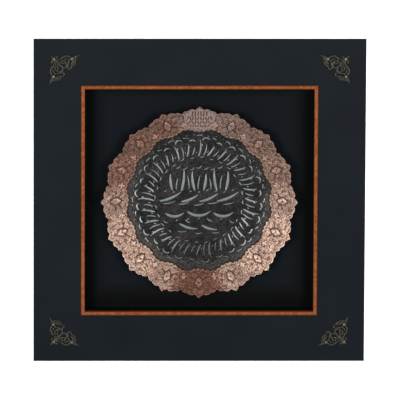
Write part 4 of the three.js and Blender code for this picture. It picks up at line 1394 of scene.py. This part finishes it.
def build_floor():
    """A wide pale floor under the plaque: a level square with faint mottling. It is neither mirrored in the
    plaque nor lights it."""
    corners = np.array([(-1, -1, 0), (1, -1, 0), (1, 1, 0), (-1, 1, 0)]) * FLOOR_REACH + [0, 0, FLOOR_LEVEL]
    floor = new_piece("studio_floor", corners, [np.array([[0, 1, 2, 3]])])
    finish, tree, shader, place = start_material("pale_floor")
    cloud = noise(tree, place, 1.5)
    color = mix_colors(tree, cloud, (0.88, 0.88, 0.88, 1), (0.93, 0.93, 0.93, 1))
    tree.links.new(color, shader.inputs["Base Color"])
    shader.inputs["Roughness"].default_value = 0.9
    floor.data.materials.append(finish)
    floor.visible_glossy = False
    floor.visible_diffuse = False


def aim_at(thing, target):
    """Turns a light so that it looks at a point."""
    thing.rotation_mode = "QUATERNION"
    thing.rotation_quaternion = (Vector(target) - thing.location).to_track_quat("-Z", "Y")


def add_soft_box(name, azimuth, elevation, distance, width, height, radiance):
    """An even soft box at a bearing from the plaque. Its power is radiance times pi times its area."""
    light = bpy.data.lights.new(name, "AREA")
    light.shape = "RECTANGLE"
    light.size, light.size_y = width, height
    light.energy = radiance * math.pi * width * height
    lamp = bpy.data.objects.new(name, light)
    level = distance * math.cos(elevation)
    lamp.location = (level * math.sin(azimuth), -level * math.cos(azimuth), distance * math.sin(elevation))
    aim_at(lamp, (0, 0, 0))
    lamp.visible_camera = False
    bpy.context.scene.collection.objects.link(lamp)
    return lamp


def build_lights(settings):
    """Two soft boxes in front, a wide light that brightens the floor behind, and an even studio all round
    that is brighter behind and below."""
    for name, (azimuth, share) in SOFT_BOXES.items():
        radiance = share * settings.box_brightness
        add_soft_box(name, azimuth, BOX_ELEVATION, BOX_DISTANCE, BOX_WIDTH, BOX_HEIGHT, radiance)
    over = add_soft_box(
        "backdrop_light", 180 * DEGREE, 45 * DEGREE, distance=7.0, width=10.0, height=10.0, radiance=3.0
    )
    aim_at(over, (0, 5.0, FLOOR_LEVEL))
    world = bpy.data.worlds.new("studio")
    world.use_nodes = True
    tree = world.node_tree
    background = tree.nodes["Background"]
    way = add_node(tree, "ShaderNodeTexCoord").outputs["Generated"]
    way = add_node(tree, "ShaderNodeSeparateXYZ", {0: way}).outputs
    behind = spread(tree, way["Y"], -0.05, 0.4, settings.surround_brightness, 0.8)
    below = spread(tree, way["Z"], -0.25, -0.65)
    strength = math_node(tree, "ADD", behind, math_node(tree, "MULTIPLY", below, 0.46))
    tint = mix_colors(tree, below, (0.97, 0.985, 1.0, 1.0), (0.86, 0.96, 1.14, 1.0))
    tree.links.new(tint, background.inputs["Color"])
    tree.links.new(strength, background.inputs["Strength"])
    bpy.context.scene.world = world


def build_camera(settings):
    """A long lens. The aim lies a little right of and below the origin in the camera's own plane."""
    az, el, roll = settings.azimuth, settings.elevation, settings.roll
    ahead = Vector((-math.sin(az) * math.cos(el), math.cos(az) * math.cos(el), -math.sin(el)))
    level = Vector((math.cos(az), math.sin(az), 0))
    raised = level.cross(ahead)
    right = math.cos(roll) * level + math.sin(roll) * raised
    up = -math.sin(roll) * level + math.cos(roll) * raised
    aim_right, aim_down = 1.8 * MM, 8.3 * MM
    camera = bpy.data.cameras.new("camera")
    camera.lens = settings.focal_length
    camera.sensor_width = 36.0
    camera.clip_start, camera.clip_end = 0.5, 200.0
    view = bpy.data.objects.new("camera", camera)
    place = -ahead * settings.distance + right * aim_right - up * aim_down
    turn = Matrix((right, up, -ahead)).transposed()
    view.matrix_world = Matrix.Translation(place) @ turn.to_4x4()
    bpy.context.scene.collection.objects.link(view)
    bpy.context.scene.camera = view


# Operators


class PLAQUE_OT_rails(bpy.types.Operator):
    """Make the four lacquered rails"""

    bl_idname = "plaque.rails"
    bl_label = "Frame Rails"

    def execute(self, context):
        build_rails(context.scene.plaque_frame)
        return {"FINISHED"}


class PLAQUE_OT_fillets(bpy.types.Operator):
    """Make the four copper-painted fillet strips"""

    bl_idname = "plaque.fillets"
    bl_label = "Fillet Strips"

    def execute(self, context):
        build_fillets(context.scene.plaque_frame)
        return {"FINISHED"}


class PLAQUE_OT_back_panel(bpy.types.Operator):
    """Finish the back panel, black in front and bare behind"""

    bl_idname = "plaque.back_panel"
    bl_label = "Back Panel"

    def execute(self, context):
        build_back_panel(context.scene.plaque_frame)
        return {"FINISHED"}


class PLAQUE_OT_copper_dish(bpy.types.Operator):
    """Make the engraved copper dish"""

    bl_idname = "plaque.copper_dish"
    bl_label = "Copper Dish"

    def execute(self, context):
        build_copper_dish(context.scene.plaque_dish)
        return {"FINISHED"}


class PLAQUE_OT_strokes(bpy.types.Operator):
    """Make the silvered strokes in the dish's well"""

    bl_idname = "plaque.strokes"
    bl_label = "Well Strokes"

    def execute(self, context):
        build_strokes(context.scene.plaque_dish)
        return {"FINISHED"}


class PLAQUE_OT_ornaments(bpy.types.Operator):
    """Make the four pierced brass corners"""

    bl_idname = "plaque.ornaments"
    bl_label = "Corner Ornaments"

    def execute(self, context):
        build_ornaments(context.scene.plaque_trim)
        return {"FINISHED"}


class PLAQUE_OT_nails(bpy.types.Operator):
    """Make the twelve dome nails"""

    bl_idname = "plaque.nails"
    bl_label = "Dome Nails"

    def execute(self, context):
        build_nails(context.scene.plaque_trim)
        return {"FINISHED"}


class PLAQUE_OT_hanger(bpy.types.Operator):
    """Finish the keyhole plate and its screws"""

    bl_idname = "plaque.hanger"
    bl_label = "Hanger"

    def execute(self, context):
        build_hanger(context.scene.plaque_trim)
        return {"FINISHED"}


class PLAQUE_OT_stage(bpy.types.Operator):
    """Set up the floor, the lights and the camera"""

    bl_idname = "plaque.stage"
    bl_label = "Stage"

    def execute(self, context):
        build_floor()
        build_lights(context.scene.plaque_stage)
        build_camera(context.scene.plaque_stage)
        context.scene.view_settings.view_transform = "Standard"
        return {"FINISHED"}


OPERATORS = (
    PLAQUE_OT_rails, PLAQUE_OT_fillets, PLAQUE_OT_back_panel, PLAQUE_OT_copper_dish, PLAQUE_OT_strokes,
    PLAQUE_OT_ornaments, PLAQUE_OT_nails, PLAQUE_OT_hanger, PLAQUE_OT_stage,
)
SETTINGS = {
    "plaque_frame": FrameSettings,
    "plaque_dish": DishSettings,
    "plaque_trim": TrimSettings,
    "plaque_stage": StageSettings,
}


class VIEW3D_PT_plaque(bpy.types.Panel):
    """Lists the plaque's settings and the operators that make its pieces"""

    bl_label = "Copper Plaque"
    bl_idname = "VIEW3D_PT_plaque"
    bl_space_type = "VIEW_3D"
    bl_region_type = "UI"
    bl_category = "Plaque"

    def draw(self, context):
        for label, group in SETTINGS.items():
            box = self.layout.box()
            for key in group.__annotations__:
                box.prop(getattr(context.scene, label), key)
        for operator in OPERATORS:
            self.layout.operator(operator.bl_idname)


def register():
    for group in SETTINGS.values():
        bpy.utils.register_class(group)
    for operator in OPERATORS:
        bpy.utils.register_class(operator)
    bpy.utils.register_class(VIEW3D_PT_plaque)
    for label, group in SETTINGS.items():
        setattr(bpy.types.Scene, label, bpy.props.PointerProperty(type=group))


def unregister():
    for label in SETTINGS:
        delattr(bpy.types.Scene, label)
    bpy.utils.unregister_class(VIEW3D_PT_plaque)
    for operator in reversed(OPERATORS):
        bpy.utils.unregister_class(operator)
    for group in SETTINGS.values():
        bpy.utils.unregister_class(group)


def main():
    register()
    bpy.ops.plaque.rails()
    bpy.ops.plaque.fillets()
    bpy.ops.plaque.back_panel()
    bpy.ops.plaque.copper_dish()
    bpy.ops.plaque.strokes()
    bpy.ops.plaque.ornaments()
    bpy.ops.plaque.nails()
    bpy.ops.plaque.hanger()
    bpy.ops.plaque.stage()


if __name__ == "__main__":
    main()
